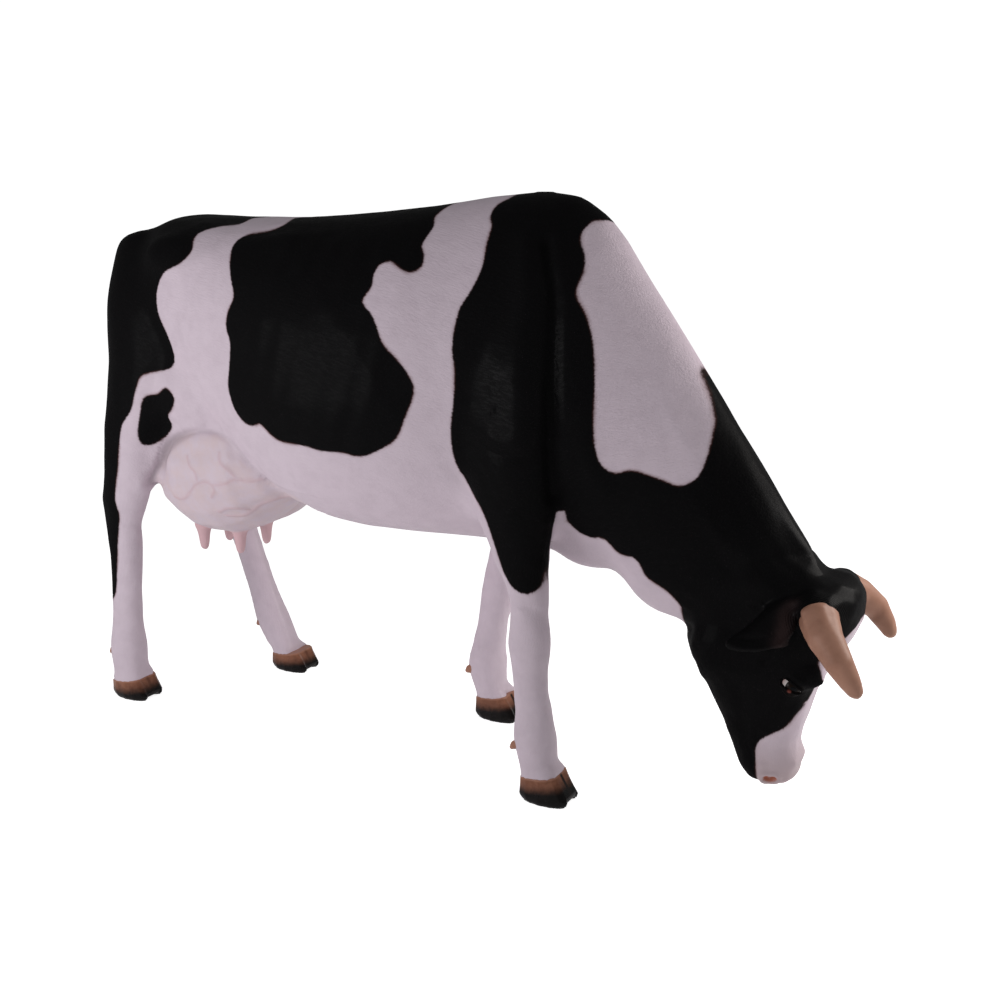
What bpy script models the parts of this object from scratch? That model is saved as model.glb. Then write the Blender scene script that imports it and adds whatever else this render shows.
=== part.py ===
"""A life-size statue of a horned dairy cow that stands and grazes, as separate closed solids.

Metres, +Z up, +X towards the head, +Y the cow's left. The soles stand on z = 0, and the
origin lies under the middle of the whole statue.
"""

import math

import bmesh
import bpy
from mathutils import Matrix, Vector

# Driving dimensions
STATUE_MIDDLE_X = 0.317  # middle of the statue's length, measured from midway between the feet
FORE_SPREAD = 0.182  # each front foot from the middle plane
HIND_SPREAD = 0.195  # each hind foot from the middle plane
FORE_CUT_Z = 0.553  # where the front legs part from the trunk
HIND_CUT_Z = 0.700  # where the hind legs part from the trunk
JOINT_GAP = 0.0004  # clearance between two solids that a plane parts
GROWN_BY = 0.0008  # clearance where one solid is trimmed to another's rounded surface
VOXEL = 0.0095  # grain of the moulded body before it is thinned out
BODY_FACETS = 0.028  # share of the moulded body's triangles that is kept
CORONET_TILT = math.radians(8)  # the hoof's upper rim drops towards the heel
EYE_RADIUS = 0.023
EYE_CENTRE = Vector((1.228, 0.094, 0.368))
SIDES = {"left": 1, "right": -1}
TRUNK_FACETS = 40  # sides of each loft's rings
NECK_FACETS = 32
LEG_FACETS = 24
UDDER_FACETS = 20
FINE_FACETS = 12  # claws, horns and ears
SMALL_FACETS = 10  # tail and teats
DEWCLAW_FACETS = 8

COLOURS = {
    "painted_coat": (0.05, 0.048, 0.052, 1),
    "white_coat": (0.66, 0.62, 0.64, 1),
    "udder_pink": (0.72, 0.57, 0.57, 1),
    "teat_pink": (0.62, 0.36, 0.35, 1),
    "horn_tan": (0.43, 0.26, 0.18, 1),
    "hoof_brown": (0.10, 0.045, 0.03, 1),
    "eye_dark": (0.03, 0.012, 0.008, 1),
}


# The scene


def clear_scene():
    for item in list(bpy.data.objects):
        bpy.data.objects.remove(item, do_unlink=True)


def new_collection(name):
    collection = bpy.data.collections.new(name)
    bpy.context.scene.collection.children.link(collection)
    return collection


def paint(name, colour, roughness):
    material = bpy.data.materials.new(name)
    material.use_nodes = True
    shader = material.node_tree.nodes["Principled BSDF"]
    shader.inputs["Base Color"].default_value = colour
    shader.inputs["Roughness"].default_value = roughness
    shader.inputs["Metallic"].default_value = 0.0
    return material


def new_object(name, mesh, collection):
    item = bpy.data.objects.new(name, mesh)
    collection.objects.link(item)
    return item


# Lofts


def curve_value(before, start, end, after, share):
    """A point on the smooth curve from start to end, a share of the way along."""
    bend = 2 * start + (end - before) * share
    bend += (2 * before - 5 * start + 4 * end - after) * share**2
    bend += (3 * start - before - 3 * end + after) * share**3
    return bend / 2


def filled_rows(rows, steps):
    """The rows, with steps - 1 smooth rows put in between each two of them."""
    last = len(rows) - 1
    result = []
    for index in range(last):
        near = [rows[max(index - 1, 0)], rows[index], rows[index + 1], rows[min(index + 2, last)]]
        for step in range(steps):
            share = step / steps
            result.append([curve_value(*values, share) for values in zip(*near)])
    result.append(list(rows[last]))
    return result


def rounded(value, power):
    """A sine or cosine bent towards the corner of a square as the power grows past 2."""
    return math.copysign(abs(value) ** (2 / power), value)


def section_ring(row, sides):
    """One cross-section from its upper point, its lower point, width and squareness."""
    top_x, top_z, low_x, low_z, middle_y, half_width, level, top_power, low_power = row
    ring = []
    for index in range(sides):
        angle = 2 * math.pi * index / sides
        power = top_power if math.sin(angle) >= 0 else low_power
        across = half_width * rounded(math.cos(angle), power)
        reach = 1 - level if math.sin(angle) >= 0 else level
        up = level + reach * rounded(math.sin(angle), power)
        x = low_x + (top_x - low_x) * up
        z = low_z + (top_z - low_z) * up
        ring.append(Vector((x, middle_y + across, z)))
    return ring


def loft_rings(mesh, rings):
    """Joins the rings into one closed tube with flat ends."""
    loops = [[mesh.verts.new(point) for point in ring] for ring in rings]
    for near, far in zip(loops, loops[1:]):
        for index in range(len(near)):
            after = (index + 1) % len(near)
            mesh.faces.new((near[index], near[after], far[after], far[index]))
    mesh.faces.new(loops[0])
    mesh.faces.new(loops[-1])


def loft_sections(mesh, rows, sides, steps):
    loft_rings(mesh, [section_ring(row, sides) for row in filled_rows(rows, steps)])


def add_ball(mesh, centre, radii, turn=0.0):
    """An ellipsoid, turned about the cross axis."""
    place = Matrix.Translation(centre) @ Matrix.Rotation(turn, 4, "Y") @ Matrix.Diagonal((*radii, 1))
    bmesh.ops.create_uvsphere(mesh, u_segments=20, v_segments=12, radius=1, matrix=place)


def finished_mesh(mesh, name):
    bmesh.ops.recalc_face_normals(mesh, faces=mesh.faces)
    data = bpy.data.meshes.new(name)
    mesh.to_mesh(data)
    mesh.free()
    return data


# The moulded body: overlapping masses that are melted into one

# Each trunk row: place along the back, spine, keel, half width, widest level, squareness up, down
TRUNK_ROWS = (
    (-0.682, 1.180, 1.020, 0.070, 0.50, 2.0, 2.0),
    (-0.650, 1.256, 0.900, 0.130, 0.55, 2.2, 2.0),
    (-0.600, 1.287, 0.800, 0.182, 0.58, 2.5, 2.0),
    (-0.500, 1.341, 0.800, 0.222, 0.58, 2.7, 2.0),
    (-0.380, 1.345, 0.782, 0.250, 0.56, 2.9, 2.2),
    (-0.250, 1.342, 0.730, 0.272, 0.50, 3.0, 2.4),
    (-0.080, 1.344, 0.604, 0.300, 0.46, 2.8, 2.3),
    (0.100, 1.356, 0.571, 0.312, 0.44, 2.5, 2.3),
    (0.280, 1.374, 0.570, 0.292, 0.45, 2.3, 2.2),
    (0.420, 1.394, 0.572, 0.250, 0.48, 2.0, 2.1),
    (0.540, 1.406, 0.568, 0.220, 0.50, 1.9, 2.0),
    (0.655, 1.397, 0.551, 0.195, 0.48, 1.9, 2.0),
    (0.728, 1.338, 0.560, 0.165, 0.45, 2.0, 2.0),
)

# Each neck row: upper point x and z, lower point x and z, half width, widest level
NECK_ROWS = (
    (0.560, 1.375, 0.520, 0.640, 0.180, 0.45),
    (0.692, 1.375, 0.655, 0.550, 0.180, 0.42),
    (0.761, 1.307, 0.732, 0.541, 0.168, 0.42),
    (0.814, 1.232, 0.788, 0.531, 0.155, 0.42),
    (0.888, 1.132, 0.816, 0.490, 0.143, 0.44),
    (0.958, 1.034, 0.858, 0.457, 0.134, 0.46),
    (1.028, 0.931, 0.907, 0.445, 0.126, 0.50),
    (1.098, 0.830, 0.942, 0.440, 0.120, 0.52),
    (1.158, 0.743, 0.970, 0.434, 0.116, 0.54),
    (1.215, 0.664, 0.985, 0.428, 0.110, 0.56),
    (1.260, 0.606, 1.040, 0.425, 0.100, 0.56),
)

# Each head row: face point x and z, jaw point x and z, half width, widest level, squareness
HEAD_ROWS = (
    (1.314, 0.598, 1.235, 0.610, 0.062, 0.60, 2.4, 2.0),
    (1.344, 0.562, 1.150, 0.575, 0.094, 0.64, 2.8, 2.0),
    (1.343, 0.512, 1.030, 0.500, 0.106, 0.68, 3.0, 2.0),
    (1.324, 0.460, 0.951, 0.425, 0.112, 0.70, 3.0, 2.1),
    (1.285, 0.395, 0.961, 0.372, 0.108, 0.66, 3.0, 2.3),
    (1.254, 0.325, 1.000, 0.320, 0.092, 0.58, 3.0, 2.5),
    (1.237, 0.255, 1.036, 0.250, 0.073, 0.54, 2.9, 2.4),
    (1.224, 0.205, 1.058, 0.200, 0.066, 0.54, 2.8, 2.3),
    (1.230, 0.168, 1.075, 0.155, 0.070, 0.56, 2.7, 2.3),
    (1.224, 0.126, 1.098, 0.112, 0.071, 0.56, 2.6, 2.2),
    (1.198, 0.096, 1.130, 0.087, 0.050, 0.55, 2.3, 2.1),
)

# Each leg row: height, reach ahead and behind the leg's line, place across, half width
FORELEG_ROWS = (
    (1.330, 0.050, 0.050, 0.045, 0.045),
    (1.220, 0.085, 0.080, 0.090, 0.070),
    (1.060, 0.105, 0.105, 0.135, 0.088),
    (0.900, 0.112, 0.122, 0.152, 0.088),
    (0.780, 0.110, 0.118, 0.163, 0.076),
    (0.690, 0.092, 0.114, 0.172, 0.066),
    (0.610, 0.068, 0.091, 0.178, 0.056),
    (0.510, 0.047, 0.054, 0.181, 0.047),
    (0.440, 0.049, 0.048, 0.182, 0.048),
    (0.390, 0.055, 0.051, 0.182, 0.052),
    (0.330, 0.046, 0.050, 0.182, 0.045),
    (0.270, 0.042, 0.047, 0.182, 0.041),
    (0.200, 0.048, 0.051, 0.182, 0.043),
    (0.145, 0.055, 0.060, 0.182, 0.052),
    (0.100, 0.046, 0.053, 0.182, 0.050),
    (0.040, 0.044, 0.056, 0.182, 0.054),
)
HINDLEG_ROWS = (
    (1.240, 0.120, 0.105, 0.120, 0.080),
    (1.120, 0.165, 0.126, 0.142, 0.102),
    (0.980, 0.170, 0.119, 0.160, 0.100),
    (0.880, 0.162, 0.098, 0.176, 0.086),
    (0.790, 0.126, 0.073, 0.190, 0.074),
    (0.710, 0.096, 0.064, 0.197, 0.062),
    (0.640, 0.088, 0.064, 0.197, 0.054),
    (0.578, 0.073, 0.074, 0.195, 0.046),
    (0.510, 0.055, 0.067, 0.195, 0.040),
    (0.420, 0.053, 0.052, 0.195, 0.038),
    (0.300, 0.051, 0.049, 0.195, 0.037),
    (0.210, 0.050, 0.052, 0.195, 0.041),
    (0.145, 0.054, 0.061, 0.195, 0.050),
    (0.100, 0.048, 0.058, 0.195, 0.049),
    (0.040, 0.046, 0.057, 0.195, 0.054),
)
# Each leg's line: height and place along the body, from the top down to the hoof
LEG_LINES = {
    ("front", "right"): (
        (1.330, 0.555), (0.900, 0.575), (0.690, 0.590), (0.510, 0.626), (0.390, 0.624),
        (0.200, 0.641), (0.120, 0.650), (0.040, 0.670), (0.000, 0.680),
    ),
    ("front", "left"): (
        (1.330, 0.555), (0.900, 0.560), (0.690, 0.489), (0.510, 0.379), (0.390, 0.350),
        (0.200, 0.312), (0.120, 0.310), (0.040, 0.335), (0.000, 0.346),
    ),
    ("hind", "right"): (
        (1.240, -0.545), (0.980, -0.530), (0.790, -0.590), (0.640, -0.621), (0.578, -0.634),
        (0.300, -0.650), (0.120, -0.655), (0.040, -0.642), (0.000, -0.640),
    ),
    ("hind", "left"): (
        (1.240, -0.545), (0.980, -0.530), (0.790, -0.580), (0.640, -0.610), (0.578, -0.611),
        (0.300, -0.512), (0.120, -0.438), (0.040, -0.386), (0.000, -0.376),
    ),
}
LEG_ROWS = {"front": FORELEG_ROWS, "hind": HINDLEG_ROWS}

# Masses that shape the trunk and head: centre x, across, z, then their radii and turn
PAIRED_MASSES = (
    (-0.565, 0.118, 1.245, 0.092, 0.066, 0.066, 0.0),  # pin and rump corner
    (-0.385, 0.190, 1.245, 0.110, 0.050, 0.058, 0.0),  # hook bone
    (-0.570, 0.130, 1.060, 0.080, 0.085, 0.170, 0.0),  # buttock
    (-0.370, 0.170, 0.905, 0.170, 0.080, 0.115, 0.0),  # stifle and flank fold
    (0.630, 0.125, 0.820, 0.060, 0.085, 0.150, 0.0),  # point of the shoulder
    (1.248, 0.082, 0.396, 0.048, 0.037, 0.038, 0.3),  # brow over the eye
    (1.056, 0.066, 0.410, 0.080, 0.042, 0.080, 0.4),  # cheek
    (1.270, 0.094, 0.548, 0.050, 0.058, 0.045, 0.0),  # seat of the horn
)
MIDDLE_MASSES = (
    (0.690, 0.000, 0.640, 0.110, 0.105, 0.105, 0.0),  # brisket
    (1.213, 0.000, 0.160, 0.022, 0.050, 0.020, 0.0),  # upper rim of the nose
)


def line_at(line, height):
    """The place along the body where a leg's line passes a height."""
    rows = filled_rows(line, 6)
    for (high, near), (low, far) in zip(rows, rows[1:]):
        if high >= height >= low:
            share = (high - height) / (high - low)
            return near + (far - near) * share
    return rows[-1][1]


def trunk_section(row):
    place, spine, keel, half_width, level, up, down = row
    return (place, spine, place, keel, 0.0, half_width, level, up, down)


def neck_section(row):
    top_x, top_z, low_x, low_z, half_width, level = row
    return (top_x, top_z, low_x, low_z, 0.0, half_width, level, 1.9, 1.9)


def head_section(row):
    face_x, face_z, jaw_x, jaw_z, half_width, level, front, back = row
    return (face_x, face_z, jaw_x, jaw_z, 0.0, half_width, level, front, back)


def leg_section(row, line, sign):
    height, ahead, behind, across, half_width = row
    middle = line_at(line, height)
    level = behind / (ahead + behind)
    return (middle + ahead, height, middle - behind, height, sign * across, half_width, level, 2.1, 2.1)


def add_masses(mesh):
    for x, across, z, length, width, height, turn in PAIRED_MASSES:
        for sign in SIDES.values():
            add_ball(mesh, Vector((x, sign * across, z)), (length, width, height), turn)
    for x, across, z, length, width, height, turn in MIDDLE_MASSES:
        add_ball(mesh, Vector((x, across, z)), (length, width, height), turn)


def applied_mesh(item, name):
    """The object's mesh with its modifiers applied; the object is removed."""
    graph = bpy.context.evaluated_depsgraph_get()
    data = bpy.data.meshes.new_from_object(item.evaluated_get(graph))
    data.name = name
    bpy.data.objects.remove(item, do_unlink=True)
    return data


def moulded_body(collection):
    """Trunk, neck, head and legs melted into one smooth closed mesh."""
    mesh = bmesh.new()
    loft_sections(mesh, [trunk_section(row) for row in TRUNK_ROWS], TRUNK_FACETS, 3)
    loft_sections(mesh, [neck_section(row) for row in NECK_ROWS], NECK_FACETS, 3)
    loft_sections(mesh, [head_section(row) for row in HEAD_ROWS], NECK_FACETS, 4)
    for (end, side), line in LEG_LINES.items():
        rows = [leg_section(row, line, SIDES[side]) for row in LEG_ROWS[end]]
        loft_sections(mesh, rows, LEG_FACETS, 3)
    add_masses(mesh)
    item = new_object("body_mass", finished_mesh(mesh, "body_mass"), collection)
    melt = item.modifiers.new("melt", "REMESH")
    melt.mode = "VOXEL"
    melt.voxel_size = VOXEL
    ease = item.modifiers.new("ease", "LAPLACIANSMOOTH")
    ease.iterations = 8
    ease.lambda_factor = 1.2
    ease.use_volume_preserve = True
    thin = item.modifiers.new("thin", "DECIMATE")
    thin.ratio = BODY_FACETS
    return applied_mesh(item, "body")


# Cutting


def leg_space(name, outline, sign, margin):
    """The space a leg is cut out with, its inner and upper faces moved out by the margin."""
    inner = sign * (LEG_SPACE_INNER - margin)
    outer = sign * LEG_SPACE_OUTER
    mesh = bmesh.new()
    rings = []
    for y in (inner, outer):
        rings.append([Vector((x, y, z + margin if z > 0 else z)) for x, z in outline])
    loft_rings(mesh, rings)
    return finished_mesh(mesh, name)


def boolean_mesh(data, cutters, operation, name, collection):
    """The mesh after a Boolean with each cutter mesh in turn."""
    item = new_object(name, data, collection)
    helpers = []
    for cutter in cutters:
        helper = new_object(name + "_cutter", cutter, collection)
        helper.hide_render = True
        helper.display_type = "WIRE"
        cut = item.modifiers.new("cut", "BOOLEAN")
        cut.operation = operation
        cut.object = helper
        helpers.append(helper)
    result = applied_mesh(item, name)
    for helper in helpers:
        bpy.data.objects.remove(helper, do_unlink=True)
    return result


def grown(data, distance=GROWN_BY):
    """A copy of the mesh, a little larger all round."""
    mesh = bmesh.new()
    mesh.from_mesh(data)
    mesh.normal_update()
    moves = [(point, point.normal * distance) for point in mesh.verts]
    for point, move in moves:
        point.co += move
    copy = bpy.data.meshes.new(data.name + "_grown")
    mesh.to_mesh(copy)
    mesh.free()
    return copy


def split_by_plane(data, point, normal, name):
    """The part of the mesh on the normal's side of a plane, closed with a flat face."""
    mesh = bmesh.new()
    mesh.from_mesh(data)
    everything = mesh.verts[:] + mesh.edges[:] + mesh.faces[:]
    bmesh.ops.bisect_plane(mesh, geom=everything, plane_co=point, plane_no=normal, clear_inner=True)
    rim = [edge for edge in mesh.edges if edge.is_boundary]
    bmesh.ops.holes_fill(mesh, edges=rim, sides=0)
    return finished_mesh(mesh, name)


def part_at_plane(data, point, normal, ahead_name, behind_name):
    """Both parts of a mesh that a plane divides, half a gap back from it on each side."""
    step = normal.normalized() * (JOINT_GAP / 2)
    ahead = split_by_plane(data, point + step, normal, ahead_name)
    behind = split_by_plane(data, point - step, -normal, behind_name)
    return ahead, behind


# The places where the body parts
NECK_ROOT = (Vector((0.725, 0, 1.360)), Vector((0.765, 0, 0.525)))
THROAT = (Vector((1.262, 0, 0.645)), Vector((0.945, 0, 0.430)))
LEG_SPACES = {  # outline from the side, sloped ahead so that it clears the belly
    "front": ((0.200, -0.100), (0.900, -0.100), (0.765, FORE_CUT_Z), (0.200, FORE_CUT_Z)),
    "hind": ((-0.900, -0.100), (-0.100, -0.100), (-0.430, HIND_CUT_Z), (-0.900, HIND_CUT_Z)),
}
LEG_SPACE_INNER = 0.088
LEG_SPACE_OUTER = 0.400


def plane_normal(line):
    """A normal that points ahead, square to a line down the middle plane."""
    down = line[1] - line[0]
    return Vector((-down.z, 0, down.x)).normalized()


def divided_body(body, collection):
    """Head, neck, trunk and the four legs, cut from the moulded body."""
    meshes = {}
    ahead, rest = part_at_plane(body, NECK_ROOT[0], plane_normal(NECK_ROOT), "ahead", "rest")
    meshes["head"], meshes["neck"] = part_at_plane(ahead, THROAT[0], plane_normal(THROAT), "head", "neck")
    leg_cutters = []
    for end, outline in LEG_SPACES.items():
        for side, sign in SIDES.items():
            name = "leg_" + end + "_" + side
            inside = leg_space(name + "_inside", outline, sign, -JOINT_GAP / 2)
            meshes[name] = boolean_mesh(rest.copy(), [inside], "INTERSECT", name, collection)
            leg_cutters.append(leg_space(name + "_around", outline, sign, JOINT_GAP / 2))
    meshes["trunk"] = boolean_mesh(rest, leg_cutters, "DIFFERENCE", "trunk", collection)
    return meshes


# Feet

CLAW_ROWS = (  # height, reach ahead and behind, half width
    (0.000, 0.055, 0.047, 0.0190),
    (0.006, 0.065, 0.057, 0.0238),
    (0.016, 0.067, 0.063, 0.0256),
    (0.045, 0.047, 0.061, 0.0252),
    (0.110, 0.010, 0.056, 0.0235),
)
# height of the hoof's upper rim at the middle of the foot
CORONET_Z = {"front": 0.064, "hind": 0.052}
CLAW_SPACING = 0.0266  # each claw's line from the foot's middle
CLAW_TURN = math.radians(2)  # the toes spread a little
DEWCLAW_Z = 0.132
DEWCLAW_RADIUS = 0.0135
DEWCLAW_LENGTH = 0.022
DEWCLAW_SETBACK = 0.040  # behind the leg's line
DEWCLAW_SPACING = 0.024  # from the leg's middle


def foot_centre(end, side):
    spread = FORE_SPREAD if end == "front" else HIND_SPREAD
    line = LEG_LINES[end, side]
    return Vector((line[-1][1], SIDES[side] * spread, 0))


def coronet_plane(end, side):
    point = foot_centre(end, side) + Vector((0, 0, CORONET_Z[end]))
    normal = Vector((-math.sin(CORONET_TILT), 0, math.cos(CORONET_TILT)))
    return point, normal


def claw_mesh(end, side, out):
    """One half of a cloven hoof, flat below and cut off along the coronet."""
    mesh = bmesh.new()
    rings = []
    for height, ahead, behind, half_width in CLAW_ROWS:
        level = behind / (ahead + behind)
        row = (ahead, height, -behind, height, 0.0, half_width, level, 1.75, 2.4)
        rings.append(section_ring(row, FINE_FACETS))
    loft_rings(mesh, rings)
    centre = foot_centre(end, side) + Vector((0, out * CLAW_SPACING, 0))
    place = Matrix.Translation(centre) @ Matrix.Rotation(out * CLAW_TURN, 4, "Z")
    bmesh.ops.transform(mesh, matrix=place, verts=mesh.verts)
    whole = finished_mesh(mesh, "claw")
    point, normal = coronet_plane(end, side)
    return split_by_plane(whole, point - normal * JOINT_GAP / 2, -normal, "claw")


def dewclaw_mesh(end, side, out):
    """A small blunt cone that stands out behind the fetlock."""
    spread = FORE_SPREAD if end == "front" else HIND_SPREAD
    root_x = line_at(LEG_LINES[end, side], DEWCLAW_Z) - DEWCLAW_SETBACK
    centre = Vector((root_x, SIDES[side] * spread + out * DEWCLAW_SPACING, DEWCLAW_Z))
    mesh = bmesh.new()
    aim = Vector((-0.80, out * 0.18, -0.58)).normalized()
    place = Matrix.Translation(centre) @ Vector((0, 0, 1)).rotation_difference(aim).to_matrix().to_4x4()
    rings = []
    for share, swell in ((-0.3, 1.0), (0.5, 0.9), (1.0, 0.36)):
        radius = DEWCLAW_RADIUS * swell
        ring = []
        for index in range(DEWCLAW_FACETS):
            angle = 2 * math.pi * index / DEWCLAW_FACETS
            x = radius * math.cos(angle)
            y = radius * math.sin(angle)
            ring.append(Vector((x, y, share * DEWCLAW_LENGTH)))
        rings.append([place @ point for point in ring])
    loft_rings(mesh, rings)
    return finished_mesh(mesh, "dewclaw")


# Horns, ears, eyes

HORN_ROWS = (  # centre x, across, z, radius
    (1.254, 0.075, 0.550, 0.0350),
    (1.277, 0.122, 0.541, 0.0375),
    (1.306, 0.166, 0.510, 0.0360),
    (1.342, 0.195, 0.473, 0.0290),
    (1.366, 0.196, 0.438, 0.0215),
    (1.377, 0.193, 0.419, 0.0150),
    (1.381, 0.190, 0.410, 0.0075),
)
POLL = Vector((1.280, 0.000, 0.550))
HORN_TURN = Matrix.Rotation(math.radians(2.4), 4, "Z") @ Matrix.Rotation(math.radians(0.6), 4, "X")
EAR_ROWS = (  # centre x, across, z, half width, half thickness, cup
    (1.228, 0.082, 0.556, 0.024, 0.0220, 0.000),
    (1.214, 0.106, 0.542, 0.033, 0.0190, 0.004),
    (1.201, 0.132, 0.524, 0.046, 0.0145, 0.012),
    (1.180, 0.152, 0.502, 0.044, 0.0120, 0.014),
    (1.153, 0.168, 0.484, 0.033, 0.0105, 0.010),
    (1.126, 0.181, 0.474, 0.022, 0.0090, 0.006),
    (1.105, 0.189, 0.470, 0.009, 0.0060, 0.002),
)
EAR_FACING = Vector((-0.10, 0.80, 0.60))  # the way the ear's rounded back looks, on the left side


def tube_rings(rows, sides):
    """Round rings square to a centre line of x, across, z and radius."""
    centres = [Vector(row[:3]) for row in rows]
    rings = []
    for index, row in enumerate(rows):
        ahead = centres[min(index + 1, len(centres) - 1)]
        along = (ahead - centres[max(index - 1, 0)]).normalized()
        first = along.cross(Vector((0, 0, 1))).normalized()
        second = along.cross(first)
        ring = []
        for step in range(sides):
            angle = 2 * math.pi * step / sides
            spoke = first * math.cos(angle) + second * math.sin(angle)
            ring.append(centres[index] + spoke * row[3])
        rings.append(ring)
    return rings


def mirrored_rings(rings, sign):
    return [[Vector((point.x, sign * point.y, point.z)) for point in ring] for ring in rings]


def horn_mesh(sign):
    mesh = bmesh.new()
    loft_rings(mesh, mirrored_rings(tube_rings(HORN_ROWS, FINE_FACETS), sign))
    place = Matrix.Translation(POLL) @ HORN_TURN @ Matrix.Translation(-POLL)
    bmesh.ops.transform(mesh, matrix=place, verts=mesh.verts)
    return finished_mesh(mesh, "horn")


def ear_rings(sides):
    """Leaf-shaped sections, cupped away from the ear's rounded back."""
    centres = [Vector(row[:3]) for row in EAR_ROWS]
    rings = []
    for index, row in enumerate(EAR_ROWS):
        half_width, half_thickness, cup = row[3:]
        ahead = centres[min(index + 1, len(centres) - 1)]
        along = (ahead - centres[max(index - 1, 0)]).normalized()
        wide = along.cross(EAR_FACING).normalized()
        out = wide.cross(along)
        ring = []
        for step in range(sides):
            angle = 2 * math.pi * step / sides
            bend = half_thickness * math.sin(angle) - cup * math.cos(angle) ** 2 + cup / 2
            ring.append(centres[index] + wide * half_width * math.cos(angle) + out * bend)
        rings.append(ring)
    return rings


def ear_mesh(sign):
    mesh = bmesh.new()
    loft_rings(mesh, mirrored_rings(ear_rings(FINE_FACETS), sign))
    return finished_mesh(mesh, "ear")


def eye_mesh(sign, radius):
    mesh = bmesh.new()
    centre = Vector((EYE_CENTRE.x, sign * EYE_CENTRE.y, EYE_CENTRE.z))
    bmesh.ops.create_icosphere(mesh, subdivisions=2, radius=radius, matrix=Matrix.Translation(centre))
    return finished_mesh(mesh, "eye")


# Udder and tail

# Each udder row: place along the body, upper edge, floor, half width
UDDER_ROWS = (
    (-0.625, 0.840, 0.650, 0.070),
    (-0.600, 0.900, 0.585, 0.130),
    (-0.530, 0.930, 0.516, 0.185),
    (-0.440, 0.940, 0.482, 0.216),
    (-0.340, 0.950, 0.486, 0.230),
    (-0.240, 0.940, 0.530, 0.233),
    (-0.150, 0.860, 0.598, 0.212),
    (-0.080, 0.780, 0.642, 0.150),
    (-0.045, 0.740, 0.660, 0.070),
)
UDDER_WIDEST = 0.48  # share of its height where it is widest
TEAT_PLACES = {"front": (-0.349, 0.055, 0.008), "rear": (-0.482, 0.052, 0.0)}  # along, across, raised
TEAT_ROWS = (  # height, radius
    (0.530, 0.0270),
    (0.492, 0.0240),
    (0.470, 0.0175),
    (0.445, 0.0140),
    (0.428, 0.0115),
    (0.421, 0.0060),
)
TAIL_ROWS = (  # centre x, across, z, radius
    (-0.590, 0.000, 1.252, 0.045),
    (-0.646, 0.000, 1.240, 0.041),
    (-0.692, 0.000, 1.195, 0.036),
    (-0.722, 0.000, 1.120, 0.030),
    (-0.735, 0.000, 1.000, 0.024),
    (-0.738, 0.000, 0.880, 0.021),
    (-0.736, 0.000, 0.800, 0.024),
    (-0.732, 0.000, 0.720, 0.034),
    (-0.728, 0.000, 0.650, 0.033),
    (-0.724, 0.000, 0.595, 0.018),
    (-0.722, 0.000, 0.575, 0.006),
)


def udder_mesh():
    mesh = bmesh.new()
    rows = []
    for place, top, floor, half_width in UDDER_ROWS:
        rows.append((place, top, place, floor, 0.0, half_width, UDDER_WIDEST, 2.2, 2.1))
    loft_sections(mesh, rows, UDDER_FACETS, 1)
    return finished_mesh(mesh, "udder")


def teat_mesh(end, sign):
    place, across, raised = TEAT_PLACES[end]
    rows = [(place, sign * across, height + raised, radius) for height, radius in TEAT_ROWS]
    mesh = bmesh.new()
    rings = []
    for x, y, z, radius in rows:
        ring = []
        for step in range(SMALL_FACETS):
            angle = 2 * math.pi * step / SMALL_FACETS
            ring.append(Vector((x + radius * math.cos(angle), y + radius * math.sin(angle), z)))
        rings.append(ring)
    loft_rings(mesh, rings)
    return finished_mesh(mesh, "teat")


def tail_rings(sides):
    centres = [Vector(row[:3]) for row in TAIL_ROWS]
    rings = []
    for index, row in enumerate(TAIL_ROWS):
        ahead = centres[min(index + 1, len(centres) - 1)]
        along = (ahead - centres[max(index - 1, 0)]).normalized()
        across = Vector((0, 1, 0))
        out = along.cross(across)
        ring = []
        for step in range(sides):
            angle = 2 * math.pi * step / sides
            ring.append(centres[index] + (across * math.cos(angle) + out * math.sin(angle)) * row[3])
        rings.append(ring)
    return rings


def tail_mesh():
    mesh = bmesh.new()
    loft_rings(mesh, tail_rings(SMALL_FACETS))
    return finished_mesh(mesh, "tail")


# Putting the statue together


def add_body_nodes(meshes, scratch):
    """Body, ears, udder and tail, each trimmed clear of what it grows from."""
    clear_of_body = [grown(meshes[name]) for name in ("trunk", "leg_hind_left", "leg_hind_right")]
    udder = boolean_mesh(udder_mesh(), clear_of_body, "DIFFERENCE", "udder", scratch)
    meshes["udder"] = udder
    clear_of_rump = grown(meshes["trunk"])
    meshes["tail"] = boolean_mesh(tail_mesh(), [clear_of_rump], "DIFFERENCE", "tail", scratch)
    clear_of_udder = grown(udder)
    for end in TEAT_PLACES:
        for side, sign in SIDES.items():
            name = "teat_" + end + "_" + side
            teat = teat_mesh(end, sign)
            meshes[name] = boolean_mesh(teat, [clear_of_udder.copy()], "DIFFERENCE", name, scratch)


def add_head_nodes(meshes, scratch):
    """Eyes set in their sockets, and horns and ears that stand on the head."""
    sockets = [eye_mesh(sign, EYE_RADIUS + JOINT_GAP) for sign in SIDES.values()]
    meshes["head"] = boolean_mesh(meshes["head"], sockets, "DIFFERENCE", "head", scratch)
    clear_of_head = grown(meshes["head"])
    for side, sign in SIDES.items():
        horn = boolean_mesh(horn_mesh(sign), [clear_of_head.copy()], "DIFFERENCE", "horn", scratch)
        meshes["horn_" + side] = horn
        around = [clear_of_head.copy(), grown(horn)]
        meshes["ear_" + side] = boolean_mesh(ear_mesh(sign), around, "DIFFERENCE", "ear", scratch)
        meshes["eye_" + side] = eye_mesh(sign, EYE_RADIUS)


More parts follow.
